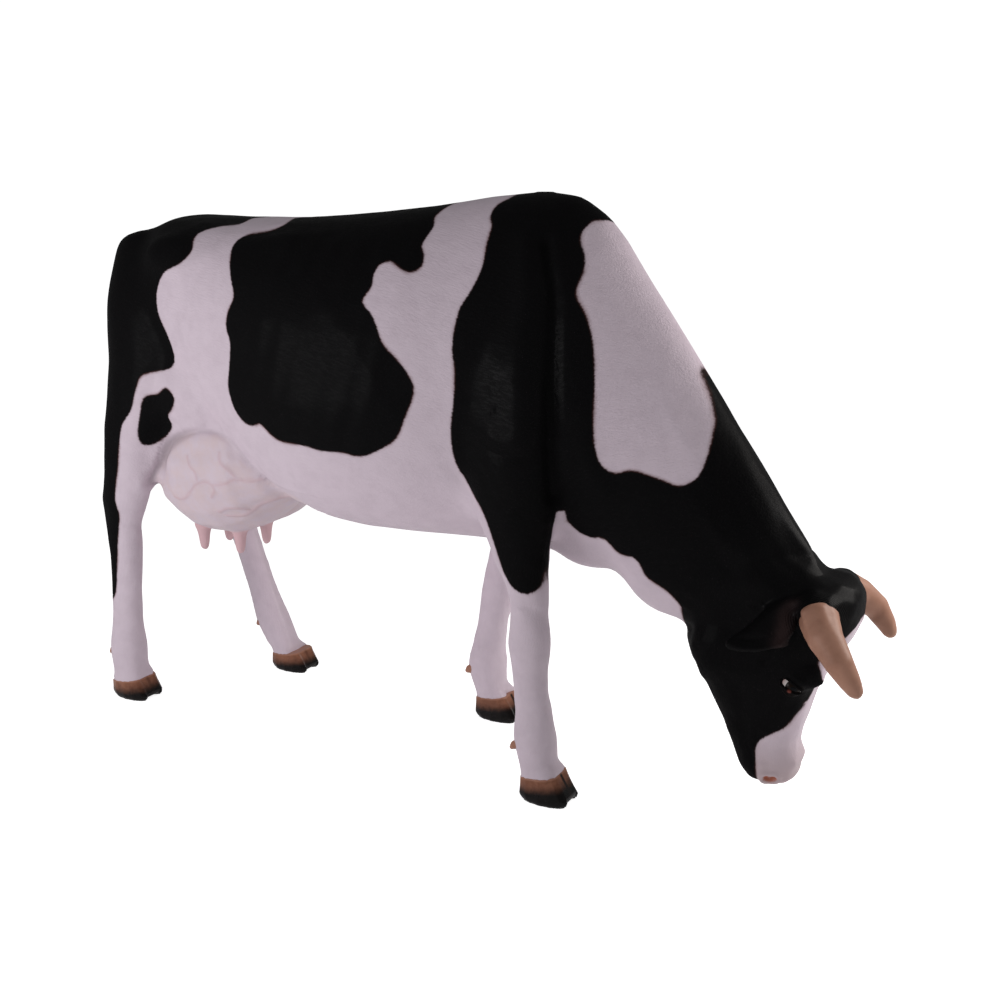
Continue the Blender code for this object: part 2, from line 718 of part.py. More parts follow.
def add_feet(meshes, scratch):
    """Legs cut off at the coronet, with two claws below and two dewclaws behind each."""
    for end, side in LEG_LINES:
        name = "leg_" + end + "_" + side
        point, normal = coronet_plane(end, side)
        leg = split_by_plane(meshes[name], point + normal * JOINT_GAP / 2, normal, name)
        meshes[name] = leg
        clear_of_leg = grown(leg)
        for place, out in (("outer", SIDES[side]), ("inner", -SIDES[side])):
            tail = end + "_" + side + "_" + place
            meshes["hoof_" + tail] = claw_mesh(end, side, out)
            dewclaw = dewclaw_mesh(end, side, out)
            meshes["dewclaw_" + tail] = boolean_mesh(
                dewclaw, [clear_of_leg.copy()], "DIFFERENCE", "dewclaw", scratch
            )


def slot_of(name):
    """The paint of a sub-part, from its name."""
    slots = {
        "leg": "white_coat",
        "udder": "udder_pink",
        "teat": "teat_pink",
        "horn": "horn_tan",
        "hoof": "hoof_brown",
        "dewclaw": "hoof_brown",
        "eye": "eye_dark",
    }
    return slots.get(name.split("_")[0], "painted_coat")


def largest_piece(data):
    """The mesh without any sliver that a cut has left beside the main piece."""
    mesh = bmesh.new()
    mesh.from_mesh(data)
    seen = set()
    pieces = []
    for start in mesh.verts:
        if start in seen:
            continue
        piece = []
        ahead = [start]
        seen.add(start)
        while ahead:
            point = ahead.pop()
            piece.append(point)
            for edge in point.link_edges:
                other = edge.other_vert(point)
                if other not in seen:
                    seen.add(other)
                    ahead.append(other)
        pieces.append(piece)
    pieces.sort(key=len)
    for piece in pieces[:-1]:
        bmesh.ops.delete(mesh, geom=piece, context="VERTS")
    bmesh.ops.remove_doubles(mesh, verts=mesh.verts, dist=0.00002)
    bmesh.ops.triangulate(mesh, faces=mesh.faces)
    return finished_mesh(mesh, data.name)


def build_statue():
    clear_scene()
    statue = new_collection("dairy_cow_statue")
    scratch = new_collection("cutters")
    body = moulded_body(scratch)
    meshes = divided_body(body, scratch)
    add_feet(meshes, scratch)
    add_body_nodes(meshes, scratch)
    add_head_nodes(meshes, scratch)
    paints = {name: paint(name, colour, 0.35) for name, colour in COLOURS.items()}
    for name, data in meshes.items():
        data = largest_piece(data)
        data.transform(Matrix.Translation((-STATUE_MIDDLE_X, 0, 0)))
        item = new_object(name, data, statue)
        item.data.materials.clear()
        item.data.materials.append(paints[slot_of(name)])
        item.data.shade_smooth()


build_statue()
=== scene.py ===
import math

import bmesh
import bpy
import numpy as np
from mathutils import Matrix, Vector
from mathutils.bvhtree import BVHTree
from mathutils.geometry import convex_hull_2d


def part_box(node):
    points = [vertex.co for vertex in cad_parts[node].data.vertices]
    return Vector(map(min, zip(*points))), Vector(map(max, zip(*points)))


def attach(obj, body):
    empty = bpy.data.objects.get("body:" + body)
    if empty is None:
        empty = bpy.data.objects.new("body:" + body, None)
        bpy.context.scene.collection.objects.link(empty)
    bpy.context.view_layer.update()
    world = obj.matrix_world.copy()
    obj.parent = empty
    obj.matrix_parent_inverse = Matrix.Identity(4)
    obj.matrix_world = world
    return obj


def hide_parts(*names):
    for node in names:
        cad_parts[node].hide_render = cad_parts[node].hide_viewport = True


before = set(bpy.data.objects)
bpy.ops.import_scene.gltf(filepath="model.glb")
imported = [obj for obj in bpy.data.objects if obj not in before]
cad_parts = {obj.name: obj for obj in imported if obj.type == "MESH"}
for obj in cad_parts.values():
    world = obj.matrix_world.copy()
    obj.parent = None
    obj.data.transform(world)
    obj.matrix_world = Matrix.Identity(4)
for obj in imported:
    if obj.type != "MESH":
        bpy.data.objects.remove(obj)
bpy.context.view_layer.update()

# The moulded shell
# The real statue is one hollow casting in glass-fibre resin, laid up in a mould and joined along
# hidden seams that are filled and sanded away. Body, legs, ears, tail and udder are one
# unbroken surface, so one shell stands for all of them.

SIDES = {"left": 1, "right": -1}
LEGS = [f"leg_{end}_{side}" for end in ("front", "hind") for side in SIDES]
TEATS = [f"teat_{end}_{side}" for end in ("front", "rear") for side in SIDES]
FLESH = ["head", "neck", "trunk", "tail", "udder", "ear_left", "ear_right", *LEGS, *TEATS]
LAP = 0.0012  # each solid is drawn this much larger, so that neighbours overlap and fuse
STUMP = 0.026  # how far each leg runs down inside its hoof
CORONET_DOWN = Vector((0.139, 0.0, -0.990))  # square to the hoof's upper rim
STUMP_TOP = 0.09  # each leg's cut end lies below this height
GRAIN = 0.0128  # size of the shell's mesh cells on the body
EASE_ROUNDS = 22
PULL_IN = 0.5  # share of the way that one easing pulls each point in
HEAD_MIDDLE = np.array((0.835, 0.0, 0.360))
UDDER_MIDDLE = np.array((-0.680, 0.0, 0.580))
# Where the mesh is finer: middle, reach, how many times finer, and how much coarser just outside
HEAD_DRAW = (HEAD_MIDDLE, 0.29, 2.0, 0.60)
UDDER_DRAW = (UDDER_MIDDLE, 0.24, 1.6, 0.75)
FAR_AWAY = 9.0  # stands for any distance too great to matter


def linked(name, mesh):
    """A new object in the scene that holds the bmesh."""
    data = bpy.data.meshes.new(name)
    mesh.to_mesh(data)
    mesh.free()
    item = bpy.data.objects.new(name, data)
    bpy.context.scene.collection.objects.link(item)
    return item


def copied(node, lap=0.0):
    """A merged copy of one solid, drawn a little larger all round."""
    mesh = bmesh.new()
    mesh.from_mesh(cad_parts[node].data)
    bmesh.ops.remove_doubles(mesh, verts=mesh.verts, dist=0.00001)
    mesh.normal_update()
    if node in LEGS:
        ends = [face for face in mesh.faces if face.normal.dot(CORONET_DOWN) > 0.99]
        low = [face for face in ends if face.calc_center_median().z < STUMP_TOP]
        rim = {point for face in low for point in face.verts}
        bmesh.ops.translate(mesh, verts=list(rim), vec=CORONET_DOWN * STUMP)
        mesh.normal_update()
    moves = [(point, point.normal * lap) for point in mesh.verts]
    for point, move in moves:
        point.co += move
    return mesh


def joined(name, meshes):
    """Several solids as one object; they may overlap."""
    whole = bmesh.new()
    for mesh in meshes:
        data = bpy.data.meshes.new("piece")
        mesh.to_mesh(data)
        mesh.free()
        whole.from_mesh(data)
        bpy.data.meshes.remove(data)
    return linked(name, whole)


def points_of(data):
    flat = np.empty(len(data.vertices) * 3)
    data.vertices.foreach_get("co", flat)
    return flat.reshape(-1, 3)


def placed(data, points):
    data.vertices.foreach_set("co", points.ravel())
    data.update()


def normals_of(data):
    flat = np.empty(len(data.vertices) * 3)
    data.vertex_normals.foreach_get("vector", flat)
    return flat.reshape(-1, 3)


def drawn_out(points, middle, core, times, thinning, back=False):
    """The space round a middle drawn out, so that an even mesh is finer there; back undoes it."""
    reach = core * (times - thinning) / (1 - thinning)
    plain = np.array((0.0, core, reach, FAR_AWAY))
    wide = np.array((0.0, core * times, reach, FAR_AWAY))
    away = points - middle
    far = np.maximum(np.linalg.norm(away, axis=1), 1e-9)
    moved = np.interp(far, wide, plain) if back else np.interp(far, plain, wide)
    return middle + away * (moved / far)[:, None]


def even_mesh(item, grain):
    """The object's solids melted into one closed mesh of even cells."""
    melt = item.modifiers.new("melt", "REMESH")
    melt.mode = "VOXEL"
    melt.voxel_size = grain
    graph = bpy.context.evaluated_depsgraph_get()
    data = bpy.data.meshes.new_from_object(item.evaluated_get(graph))
    item.modifiers.clear()
    old = item.data
    item.data = data
    bpy.data.meshes.remove(old)


def smoothed(mesh, corners, rounds, push_out):
    """Rounds off facets and keeps the volume: each pull in is followed by a push out."""
    every_way = {"use_axis_x": True, "use_axis_y": True, "use_axis_z": True}
    for _ in range(rounds):
        bmesh.ops.smooth_vert(mesh, verts=corners, factor=PULL_IN, **every_way)
        bmesh.ops.smooth_vert(mesh, verts=corners, factor=-push_out, **every_way)


def eased(data, rounds):
    mesh = bmesh.new()
    mesh.from_mesh(data)
    smoothed(mesh, mesh.verts, rounds, push_out=0.53)
    mesh.to_mesh(data)
    mesh.free()


shell = joined("painted_shell", [copied(node, LAP) for node in [*FLESH, "eye_left", "eye_right"]])
spread = drawn_out(points_of(shell.data), *HEAD_DRAW)
spread = drawn_out(spread, *UDDER_DRAW)
placed(shell.data, spread)
even_mesh(shell, GRAIN)
eased(shell.data, EASE_ROUNDS)
spread = drawn_out(points_of(shell.data), *UDDER_DRAW, back=True)
spread = drawn_out(spread, *HEAD_DRAW, back=True)
placed(shell.data, spread)
placed(shell.data, points_of(shell.data) - normals_of(shell.data) * LAP)


# Modelled relief: folds, veins, bones, teats, lids and nostrils
# The sculptor works these into the clay before the mould is taken, so they are part of the
# shell itself. The mesh is made finer where they are small.


def curve_through(stops, steps=6):
    """A smooth curve through the stops, as many short straight steps."""
    stops = np.array(stops, float)
    ends = np.vstack((2 * stops[0] - stops[1], stops, 2 * stops[-1] - stops[-2]))
    share = np.arange(steps)[:, None] / steps
    spans = []
    for before, start, end, after in zip(ends, ends[1:], ends[2:], ends[3:]):
        bend = 2 * start + (end - before) * share
        bend += (2 * before - 5 * start + 4 * end - after) * share**2
        bend += (3 * start - before - 3 * end + after) * share**3
        spans.append(bend / 2)
    return np.vstack((*spans, stops[-1:]))


def gap_to_stretch(points, start, end):
    """How far each point is from one straight stretch of a line."""
    step = end - start
    share = np.clip((points - start) @ step / max(step @ step, 1e-12), 0, 1)
    return np.linalg.norm(points - start - share[:, None] * step, axis=1)


def gap_to(points, line, margin):
    """How far each point is from the line; points beyond the margin count as far away."""
    near = ((points > line.min(0) - margin) & (points < line.max(0) + margin)).all(1)
    index = np.flatnonzero(near)
    best = np.full(len(index), FAR_AWAY)
    for start, end in zip(line, line[1:]):
        best = np.minimum(best, gap_to_stretch(points[index], start, end))
    found = np.full(len(points), FAR_AWAY)
    found[index] = best
    return found


def gap_to_either(points, stops, margin):
    """How far each point is from a line given on the left side, or from its mirror image."""
    line = curve_through(stops)
    gaps = [gap_to(points, line * np.array((1, sign, 1)), margin) for sign in SIDES.values()]
    return np.min(gaps, axis=0)


def bell(values, width):
    """1 at zero, falling away on both sides."""
    return np.exp(-((values / width) ** 2))


def faded(values, start, end):
    """0 up to start, 1 from end on, smooth between; start may be the larger."""
    share = np.clip((values - start) / (end - start), 0, 1)
    return share * share * (3 - 2 * share)


def between(pair, share):
    """From the first of two values to the second, by a share."""
    return pair[0] + (pair[1] - pair[0]) * share


def pushed(points, middle, reach, move):
    """Moves the points round a middle, less and less with the distance."""
    near = np.exp(-(((points - middle) / reach) ** 2).sum(axis=1))
    return points + near[:, None] * np.array(move)


def pull(far, wanted, hold):
    """The factor that brings distances from an axis to the wanted ones, as far as they are held."""
    return 1 + (wanted / np.maximum(far, 1e-6) - 1) * hold


def flank_side(points, normals, sign):
    """1 on the outer face of one side, fading to 0 towards the middle and the inner faces."""
    return faded(points[:, 1] * sign, 0.0, 0.03) * faded(normals[:, 1] * sign, 0.0, 0.3)


def corners_where(mesh, chosen):
    """The corners of a mesh that a rule chooses by their places."""
    wanted = chosen(np.array([point.co for point in mesh.verts]))
    return [point for point, hit in zip(mesh.verts, wanted) if hit]


def finer(data, chosen, rounds=1):
    """Splits the cells whose corners are chosen, and eases them a little."""
    mesh = bmesh.new()
    mesh.from_mesh(data)
    for _ in range(rounds):
        inside = set(corners_where(mesh, chosen))
        edges = [edge for edge in mesh.edges if inside.issuperset(edge.verts)]
        bmesh.ops.subdivide_edges(mesh, edges=edges, cuts=1, use_grid_fill=True)
        smoothed(mesh, corners_where(mesh, chosen), 2, push_out=0.52)
    mesh.to_mesh(data)
    mesh.free()


def eased_where(data, chosen, rounds):
    mesh = bmesh.new()
    mesh.from_mesh(data)
    smoothed(mesh, corners_where(mesh, chosen), rounds, push_out=0.52)
    mesh.to_mesh(data)
    mesh.free()


def middle_of(node):
    low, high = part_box(node)
    return np.array((low + high) / 2)


EYES = {side: middle_of(f"eye_{side}") for side in SIDES}
EYE_RADIUS = (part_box("eye_left")[1].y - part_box("eye_left")[0].y) / 2
MUZZLE_TOP = 0.205
MUZZLE_BACK = 0.74
TEAT_REACH = 0.034  # a teat and the skin just round it
VEIN_REACH = 0.011
EYE_REACH = 0.040
EAR_BOXES = {side: [np.array(corner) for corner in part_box(f"ear_{side}")] for side in SIDES}

# Veins over the udder and belly, as places along the body and heights
VEINS = (
    ((-0.608, 0.573), (-0.566, 0.575), (-0.536, 0.591), (-0.505, 0.613), (-0.465, 0.629), (-0.420, 0.640)),
    ((-0.618, 0.585), (-0.591, 0.598), (-0.566, 0.602), (-0.545, 0.599), (-0.535, 0.591)),
    ((-0.762, 0.611), (-0.728, 0.610), (-0.685, 0.636), (-0.662, 0.658), (-0.629, 0.671), (-0.607, 0.664)),
    ((-0.607, 0.664), (-0.557, 0.675), (-0.531, 0.688), (-0.487, 0.687), (-0.450, 0.694)),
    ((-0.607, 0.664), (-0.604, 0.648), (-0.618, 0.630)),
    ((-0.565, 0.755), (-0.561, 0.731), (-0.543, 0.714), (-0.528, 0.696)),
    ((-0.683, 0.731), (-0.672, 0.710), (-0.657, 0.698), (-0.656, 0.672)),
    ((-0.397, 0.701), (-0.361, 0.690), (-0.305, 0.687), (-0.250, 0.687)),
)
VEIN_LINES = [curve_through(stops) for stops in VEINS]


def by_a_vein(points):
    flat = points[:, (0, 2)]
    low_part = np.abs(points[:, 1]) > 0.05
    gaps = [gap_to(flat, line, VEIN_REACH) for line in VEIN_LINES]
    return low_part & (np.min(gaps, axis=0) < VEIN_REACH)


def by_an_eye(points):
    return np.min([np.linalg.norm(points - eye, axis=1) for eye in EYES.values()], axis=0) < EYE_REACH


def on_the_muzzle(points):
    return (points[:, 2] < MUZZLE_TOP) & (points[:, 0] > MUZZLE_BACK)


def on_a_teat(points):
    hits = np.zeros(len(points), bool)
    for teat in TEATS:
        low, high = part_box(teat)
        near = np.linalg.norm(points[:, :2] - middle_of(teat)[:2], axis=1) < TEAT_REACH
        hits |= near & (points[:, 2] < high.z - 0.004)
    return hits


def on_an_ear(points):
    hits = np.zeros(len(points), bool)
    for low, high in EAR_BOXES.values():
        hits |= ((points > low - 0.003) & (points < high + 0.003)).all(1) & (np.abs(points[:, 1]) > 0.100)
    return hits


def on_the_udder(points):
    low, high = (np.array(corner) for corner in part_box("udder"))
    inside = ((points > low - 0.02) & (points < high + 0.03)).all(1)
    return inside & (points[:, 2] > low[2] + 0.012)


# The udder's edge on each flank, as places along the body and heights
UDDER_EDGE = (
    (-0.853, 0.632), (-0.823, 0.688), (-0.784, 0.750), (-0.738, 0.782), (-0.668, 0.800), (-0.605, 0.806),
    (-0.556, 0.797), (-0.520, 0.772), (-0.485, 0.733), (-0.439, 0.687), (-0.395, 0.662), (-0.349, 0.648),
    (-0.300, 0.560), (-0.440, 0.440), (-0.600, 0.410), (-0.740, 0.415), (-0.835, 0.470), (-0.853, 0.560),
)
CREASE_REACH = 0.024
CREASE_FOOT = 0.615  # the crease is hidden between the thighs below this height
OUTLINE_REACH = 0.05  # distances to an outline are kept up to here


def closed_curve(stops, steps=4):
    stops = list(stops)
    line = curve_through(stops[-1:] + stops + stops[:2], steps)
    return line[steps:-steps]


def depth_inside(flat, stops):
    """How deep a point lies inside a closed outline; below 0 it lies outside."""
    line = closed_curve(stops)
    inside = np.zeros(len(flat), bool)
    best = np.full(len(flat), OUTLINE_REACH)
    x, z = flat[:, 0], flat[:, 1]
    for start, end in zip(line, line[1:]):
        step = end - start
        if abs(step[1]) > 1e-9:
            crosses = (start[1] > z) != (end[1] > z)
            inside ^= crosses & (x < start[0] + (z - start[1]) * step[0] / step[1])
        low = np.minimum(start, end) - OUTLINE_REACH
        high = np.maximum(start, end) + OUTLINE_REACH
        index = np.flatnonzero((x > low[0]) & (x < high[0]) & (z > low[1]) & (z < high[1]))
        best[index] = np.minimum(best[index], gap_to_stretch(flat[index], start, end))
    return np.where(inside, best, -best)


def by_the_crease(points):
    depth = depth_inside(points[:, (0, 2)], UDDER_EDGE)
    return (np.abs(depth) < CREASE_REACH) & (np.abs(points[:, 1]) > 0.08) & (points[:, 2] > CREASE_FOOT)


eased_where(shell.data, on_the_udder, rounds=26)
finer(shell.data, by_the_crease)
finer(shell.data, on_an_ear)
finer(shell.data, on_the_muzzle)
finer(shell.data, on_a_teat)
finer(shell.data, by_a_vein)
finer(shell.data, by_an_eye, rounds=2)
points = points_of(shell.data)
normals = normals_of(shell.data)

# Which solid each part of the surface lies on: udder and teats take their own paint
SKIN_GROUPS = {"udder": ["udder"], "teats": TEATS}
SKIN_GROUPS["rest"] = [node for node in FLESH if node not in ("udder", *TEATS)]
SKIN_TREES = {}
for group, members in SKIN_GROUPS.items():
    whole = joined("skin", [copied(node) for node in members])
    graph = bpy.context.evaluated_depsgraph_get()
    SKIN_TREES[group] = BVHTree.FromObject(whole, graph)
    bpy.data.objects.remove(whole)


UNMEASURED = 0.2  # stands for gaps that are too wide to matter


def gap_to_solid(points, group, chosen):
    """How far each chosen point is from the nearest solid of a group."""
    found = np.full(len(points), UNMEASURED)
    tree = SKIN_TREES[group]
    for index in np.flatnonzero(chosen):
        hit = tree.find_nearest(Vector(points[index]))
        if hit[0] is not None:
            found[index] = hit[3]
    return found


UDDER_MARGIN = 0.08  # gaps are measured this far round the udder
low, high = (np.array(corner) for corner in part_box("udder"))
about_udder = ((points > low - UDDER_MARGIN) & (points < high + UDDER_MARGIN)).all(1)
to_udder = gap_to_solid(points, "udder", about_udder)
to_teats = gap_to_solid(points, "teats", about_udder)
to_rest = gap_to_solid(points, "rest", about_udder)
udder_field = np.where(about_udder, to_rest - np.minimum(to_udder, to_teats), -UNMEASURED)
outer_side = faded(np.abs(points[:, 1]), 0.085, 0.120)
edge_depth = depth_inside(points[:, (0, 2)], UDDER_EDGE)
udder_depth = np.clip(udder_field, -OUTLINE_REACH, OUTLINE_REACH) * (1 - outer_side)
udder_depth += edge_depth * outer_side
teat_field = np.where(about_udder, to_udder - to_teats, -UNMEASURED)

# Folds, grooves and bones, seen from the side: width, height (below 0 cuts in), stops
RELIEF = (
    (0.014, -0.0180, (
        (0.310, 1.300), (0.335, 1.235), (0.352, 1.178), (0.360, 1.072), (0.364, 0.963), (0.370, 0.851),
        (0.374, 0.740),
    )),
    (0.030, 0.0100, ((0.275, 1.300), (0.295, 1.190), (0.306, 1.080), (0.312, 0.970), (0.316, 0.880))),
    (0.009, -0.0070, (
        (0.222, 0.862), (0.243, 0.846), (0.268, 0.837), (0.300, 0.834), (0.331, 0.848), (0.352, 0.858),
    )),
    (0.012, 0.0040, ((0.235, 0.872), (0.268, 0.862), (0.305, 0.860))),
    (0.008, -0.0050, ((0.243, 0.990), (0.250, 0.968), (0.262, 0.948), (0.246, 0.922))),
    (0.012, 0.0040, ((0.330, 0.980), (0.338, 0.940), (0.334, 0.900))),
    (0.006, -0.0030, ((0.190, 0.850), (0.222, 0.824), (0.250, 0.774), (0.285, 0.735))),
    (0.006, -0.0028, ((0.180, 0.812), (0.212, 0.790), (0.240, 0.748), (0.272, 0.712))),
    (0.020, -0.0050, ((0.130, 0.780), (0.165, 0.720), (0.195, 0.660), (0.212, 0.610))),
    (0.018, -0.0040, ((-0.300, 0.870), (-0.360, 0.835), (-0.420, 0.820), (-0.480, 0.822))),
    (0.026, 0.0050, ((-0.560, 1.255), (-0.630, 1.225), (-0.690, 1.225), (-0.760, 1.240))),
    (0.030, -0.0040, ((-0.640, 1.160), (-0.680, 1.080), (-0.730, 0.990), (-0.770, 0.900))),
    (0.030, 0.0060, (
        (0.395, 1.180), (0.405, 1.080), (0.415, 0.980), (0.425, 0.900), (0.450, 0.820), (0.475, 0.760),
    )),
)
RIB_STOPS = ((1.285, 0.000), (1.180, -0.012), (1.050, -0.034), (0.930, -0.066), (0.830, -0.100))
RIB_PLACES = (-0.330, -0.262, -0.194, -0.126, -0.058, 0.010)
RIB_WIDTH = 0.019
RIB_HEIGHT = 0.0016

lift = np.zeros(len(points))
flat = points[:, (0, 2)]
for sign in SIDES.values():
    on_side = flank_side(points, normals, sign)
    for width, height, stops in RELIEF:
        gap = gap_to(flat, curve_through(stops), 3 * width)
        lift += on_side * height * bell(gap, width)
    for place in RIB_PLACES:
        stops = [(place + back, height) for height, back in RIB_STOPS]
        gap = gap_to(flat, curve_through(stops), 3 * RIB_WIDTH)
        lift += on_side * RIB_HEIGHT * bell(gap, RIB_WIDTH)

# The udder's crease, the hollow behind it, the groove down its middle and its veins
CREASE_DEPTH = 0.0060
HOLLOW_DEPTH = 0.012
HOLLOW_WIDTHS = (0.006, 0.048)  # at the udder's front and at its rear
HOLLOW_RIM = 0.004  # how far the thigh's skin stands up round the hollow
UDDER_SWELL = 0.0030
GROOVE_DEPTH = 0.010
VEIN_HEIGHT = 0.0022
VEIN_WIDTH = 0.0044
VEIN_TOP = 0.80  # no vein shows above this height
off_middle = np.abs(points[:, 1])
crease = bell(udder_depth, 0.0075) * faded(off_middle, 0.03, 0.07)
lift -= CREASE_DEPTH * crease
behind = 1 - faded(points[:, 0], -0.80, -0.60)
hollow_width = between(HOLLOW_WIDTHS, behind)
hollow = faded(udder_depth, 0.0, 0.006) * (1 - faded(udder_depth / hollow_width, 0.35, 1.0)) * behind
hollow *= faded(off_middle, 0.10, 0.14) * faded(points[:, 2], 0.645, 0.715)
lift -= HOLLOW_DEPTH * hollow
lift += HOLLOW_RIM * bell(udder_depth + 0.012, 0.009) * behind * faded(off_middle, 0.10, 0.14)
lift += UDDER_SWELL * faded(udder_depth, 0.004, 0.035)
middle_groove = bell(points[:, 1], 0.016) * (1 - faded(points[:, 2], 0.60, 0.70))
lift -= GROOVE_DEPTH * middle_groove * faded(udder_depth, 0.0, 0.014)
vein_gap = np.min([gap_to(flat, line, 0.030) for line in VEIN_LINES], axis=0)
vein_side = faded(off_middle, 0.045, 0.080) * (flat[:, 1] < VEIN_TOP)
lift += VEIN_HEIGHT * bell(vein_gap, VEIN_WIDTH) * vein_side
placed(shell.data, points + normals * lift[:, None])
eased_where(shell.data, by_the_crease, rounds=3)
points = points_of(shell.data)

# Hollows and fullness along the middle: middle x, y, z, reach, and how far x, y and z move
MIDDLE_SHAPES = (
    ((-0.925, 0.0, 1.315), (0.034, 0.110, 0.050), (0.0, 0.0, -0.013)),  # ahead of the tail head
    ((0.300, 0.0, 0.560), (0.034, 0.080, 0.035), (0.0, 0.0, 0.012)),  # behind the brisket
    ((0.405, 0.0, 0.527), (0.036, 0.070, 0.040), (0.0, 0.0, -0.008)),  # the brisket's fold
    ((-0.360, 0.0, 0.634), (0.030, 0.300, 0.030), (0.0, 0.0, 0.011)),  # where udder meets belly
    ((0.955, 0.0, 0.604), (0.028, 0.070, 0.028), (-0.003, 0.0, -0.006)),  # behind the poll
    ((0.696, 0.0, 0.368), (0.024, 0.160, 0.024), (0.009, 0.0, 0.0)),  # the throat under the jaw
    ((0.855, 0.0, 0.083), (0.040, 0.120, 0.020), (0.0, 0.0, 0.015)),  # flat of the lips
    ((0.898, 0.0, 0.122), (0.026, 0.120, 0.024), (0.004, 0.0, -0.007)),  # the upper lip's fullness
    ((0.915, 0.0, 0.158), (0.020, 0.100, 0.014), (0.005, 0.0, 0.0)),  # the edge of the nose
)
for middle, reach, move in MIDDLE_SHAPES:
    points = pushed(points, middle, reach, move)

# The ear's lower front corner is full
EAR_CORNER = np.array((0.902, 0.160, 0.489))
EAR_CORNER_MOVE = np.array((0.012, -0.005, -0.007))
EAR_CORNER_REACH = 0.017
for sign in SIDES.values():
    flip = np.array((1, sign, 1))
    points = pushed(points, EAR_CORNER * flip, EAR_CORNER_REACH, EAR_CORNER_MOVE * flip)

# Teats: round, a little waisted, with blunt ends
TEAT_HEIGHTS = (0.0, 0.0025, 0.008, 0.020, 0.040, 0.060, 0.085, 0.110)
TEAT_RADII = (0.0040, 0.0078, 0.0112, 0.0136, 0.0160, 0.0195, 0.0280, 0.0400)
for teat in TEATS:
    axis = middle_of(teat)[:2]
    spoke = points[:, :2] - axis
    far = np.linalg.norm(spoke, axis=1)
    up = points[:, 2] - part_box(teat)[0].z
    wanted = np.interp(up, TEAT_HEIGHTS, TEAT_RADII)
    hold = (far < 0.036) * (1 - faded(up, 0.045, 0.080)) * faded(up, -0.004, 0.004)
    scale = np.where(far > 0.001, pull(far, wanted, hold), 1)
    points[:, :2] = axis + spoke * scale[:, None]

# The hair line: each leg's end swells until it lies flush with the hoof's upper rim
CORONET_AHEAD = np.array((0.990, 0.0, 0.139))
CORONET_HEIGHTS = {"front": 0.064, "hind": 0.052}
FLARE_HEIGHT = 0.034  # how far up the leg the swelling runs
RIM_INSET = 0.0014  # the hoof's rim stands this much proud of the hair
RIM_TURN_IN = 0.004  # the leg's end narrows by this much below the rim


def claws_of(leg):
    return [leg.replace("leg_", "hoof_") + place for place in ("_inner", "_outer")]


def coronet_middle(leg):
    middle = (middle_of(claws_of(leg)[0]) + middle_of(claws_of(leg)[1])) / 2
    return np.array((middle[0], middle[1], CORONET_HEIGHTS[leg.split("_")[1]]))


def coronet_place(spots, leg):
    """Places seen square to the hoof's tilted rim: ahead, across and down from its middle."""
    away = spots - coronet_middle(leg)
    return away @ CORONET_AHEAD, away[:, 1], away @ np.array(CORONET_DOWN)


def rim_reach(leg):
    """How far the hoof's upper rim reaches from its middle, for each direction round it."""
    spots = np.vstack([points_of(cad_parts[claw].data) for claw in claws_of(leg)])
    ahead, across, down = coronet_place(spots, leg)
    rim = np.column_stack((ahead, across))[np.abs(down) < 0.002]
    hull = rim[convex_hull_2d([tuple(spot) for spot in rim])]
    share = np.linspace(0, 1, 8)[:, None]
    outline = np.vstack([start + (end - start) * share for start, end in zip(hull, np.roll(hull, -1, 0))])
    turn = np.arctan2(outline[:, 1], outline[:, 0])
    order = np.argsort(turn)
    return turn[order], np.linalg.norm(outline, axis=1)[order]


for leg in LEGS:
    ahead, across, down = coronet_place(points, leg)
    far = np.hypot(ahead, across)
    turns, reaches = rim_reach(leg)
    wanted = np.interp(np.arctan2(across, ahead), turns, reaches, period=2 * math.pi) - RIM_INSET
    wanted -= RIM_TURN_IN * faded(down, 0.001, 0.007)
    hold = (1 - faded(-down, 0.0, FLARE_HEIGHT)) * (1 - faded(down, 0.010, 0.016))
    hold = np.where((far > 0.020) & (far < 0.085) & (np.abs(down) < 0.06), hold, 0)
    spoke = CORONET_AHEAD * ahead[:, None] + np.array((0, 1, 0)) * across[:, None]
    points = points + spoke * (pull(far, wanted, hold) - 1)[:, None]
placed(shell.data, points)
normals = normals_of(shell.data)

# The lids, drawn over each eyeball, and the brow above them
SLIT_LENGTH = 0.052
UPPER_LID = (0.0088, 0.0014)  # the upper lid over the eye's middle, at the outer and inner corner
LOWER_LID = (0.0088, 0.0036)  # the lower lid under it
SLIT_BACK = 0.0035  # the slit lies this far behind the eye's middle
LID_RISE = 0.0030  # how far a lid's rim stands off the eyeball
LID_FOLD = 0.0022  # how thick a lid's rolled rim is
SOCKET_DEPTH = 0.006  # the shell lies this far behind the eyeball's front
SOCKET_REACH = 0.038
BROW_RISE = 0.0065
SLIT_TO_FRONT = np.array((0.885, 0.260, -0.390))  # from the outer corner to the inner, left side
EYE_OUT = np.array((0.330, 0.940, 0.060))  # straight out of the left eye's socket


def unit(vector):
    return vector / np.linalg.norm(vector)


def eye_axes(sign):
    """Outward, along the slit towards the nose, and up towards the brow."""
    flip = np.array((1, sign, 1))
    out = unit(EYE_OUT * flip)
    along = SLIT_TO_FRONT * flip
    along = unit(along - out * (along @ out))
    up = np.cross(along, out) * sign
    return out, along, up


def lid_opening(forward, upward):
    """How far inside the opening between the lids a point lies; below 0 it is on a lid."""
    share = np.clip(forward / SLIT_LENGTH + 0.5, 0, 1)
    curve = np.clip(1 - np.abs(2 * share - 1) ** 3, 0, 1) ** 0.6
    upper = between(UPPER_LID, share) * curve
    lower = between(LOWER_LID, share) * curve
    return np.minimum(upper - upward, upward + lower)


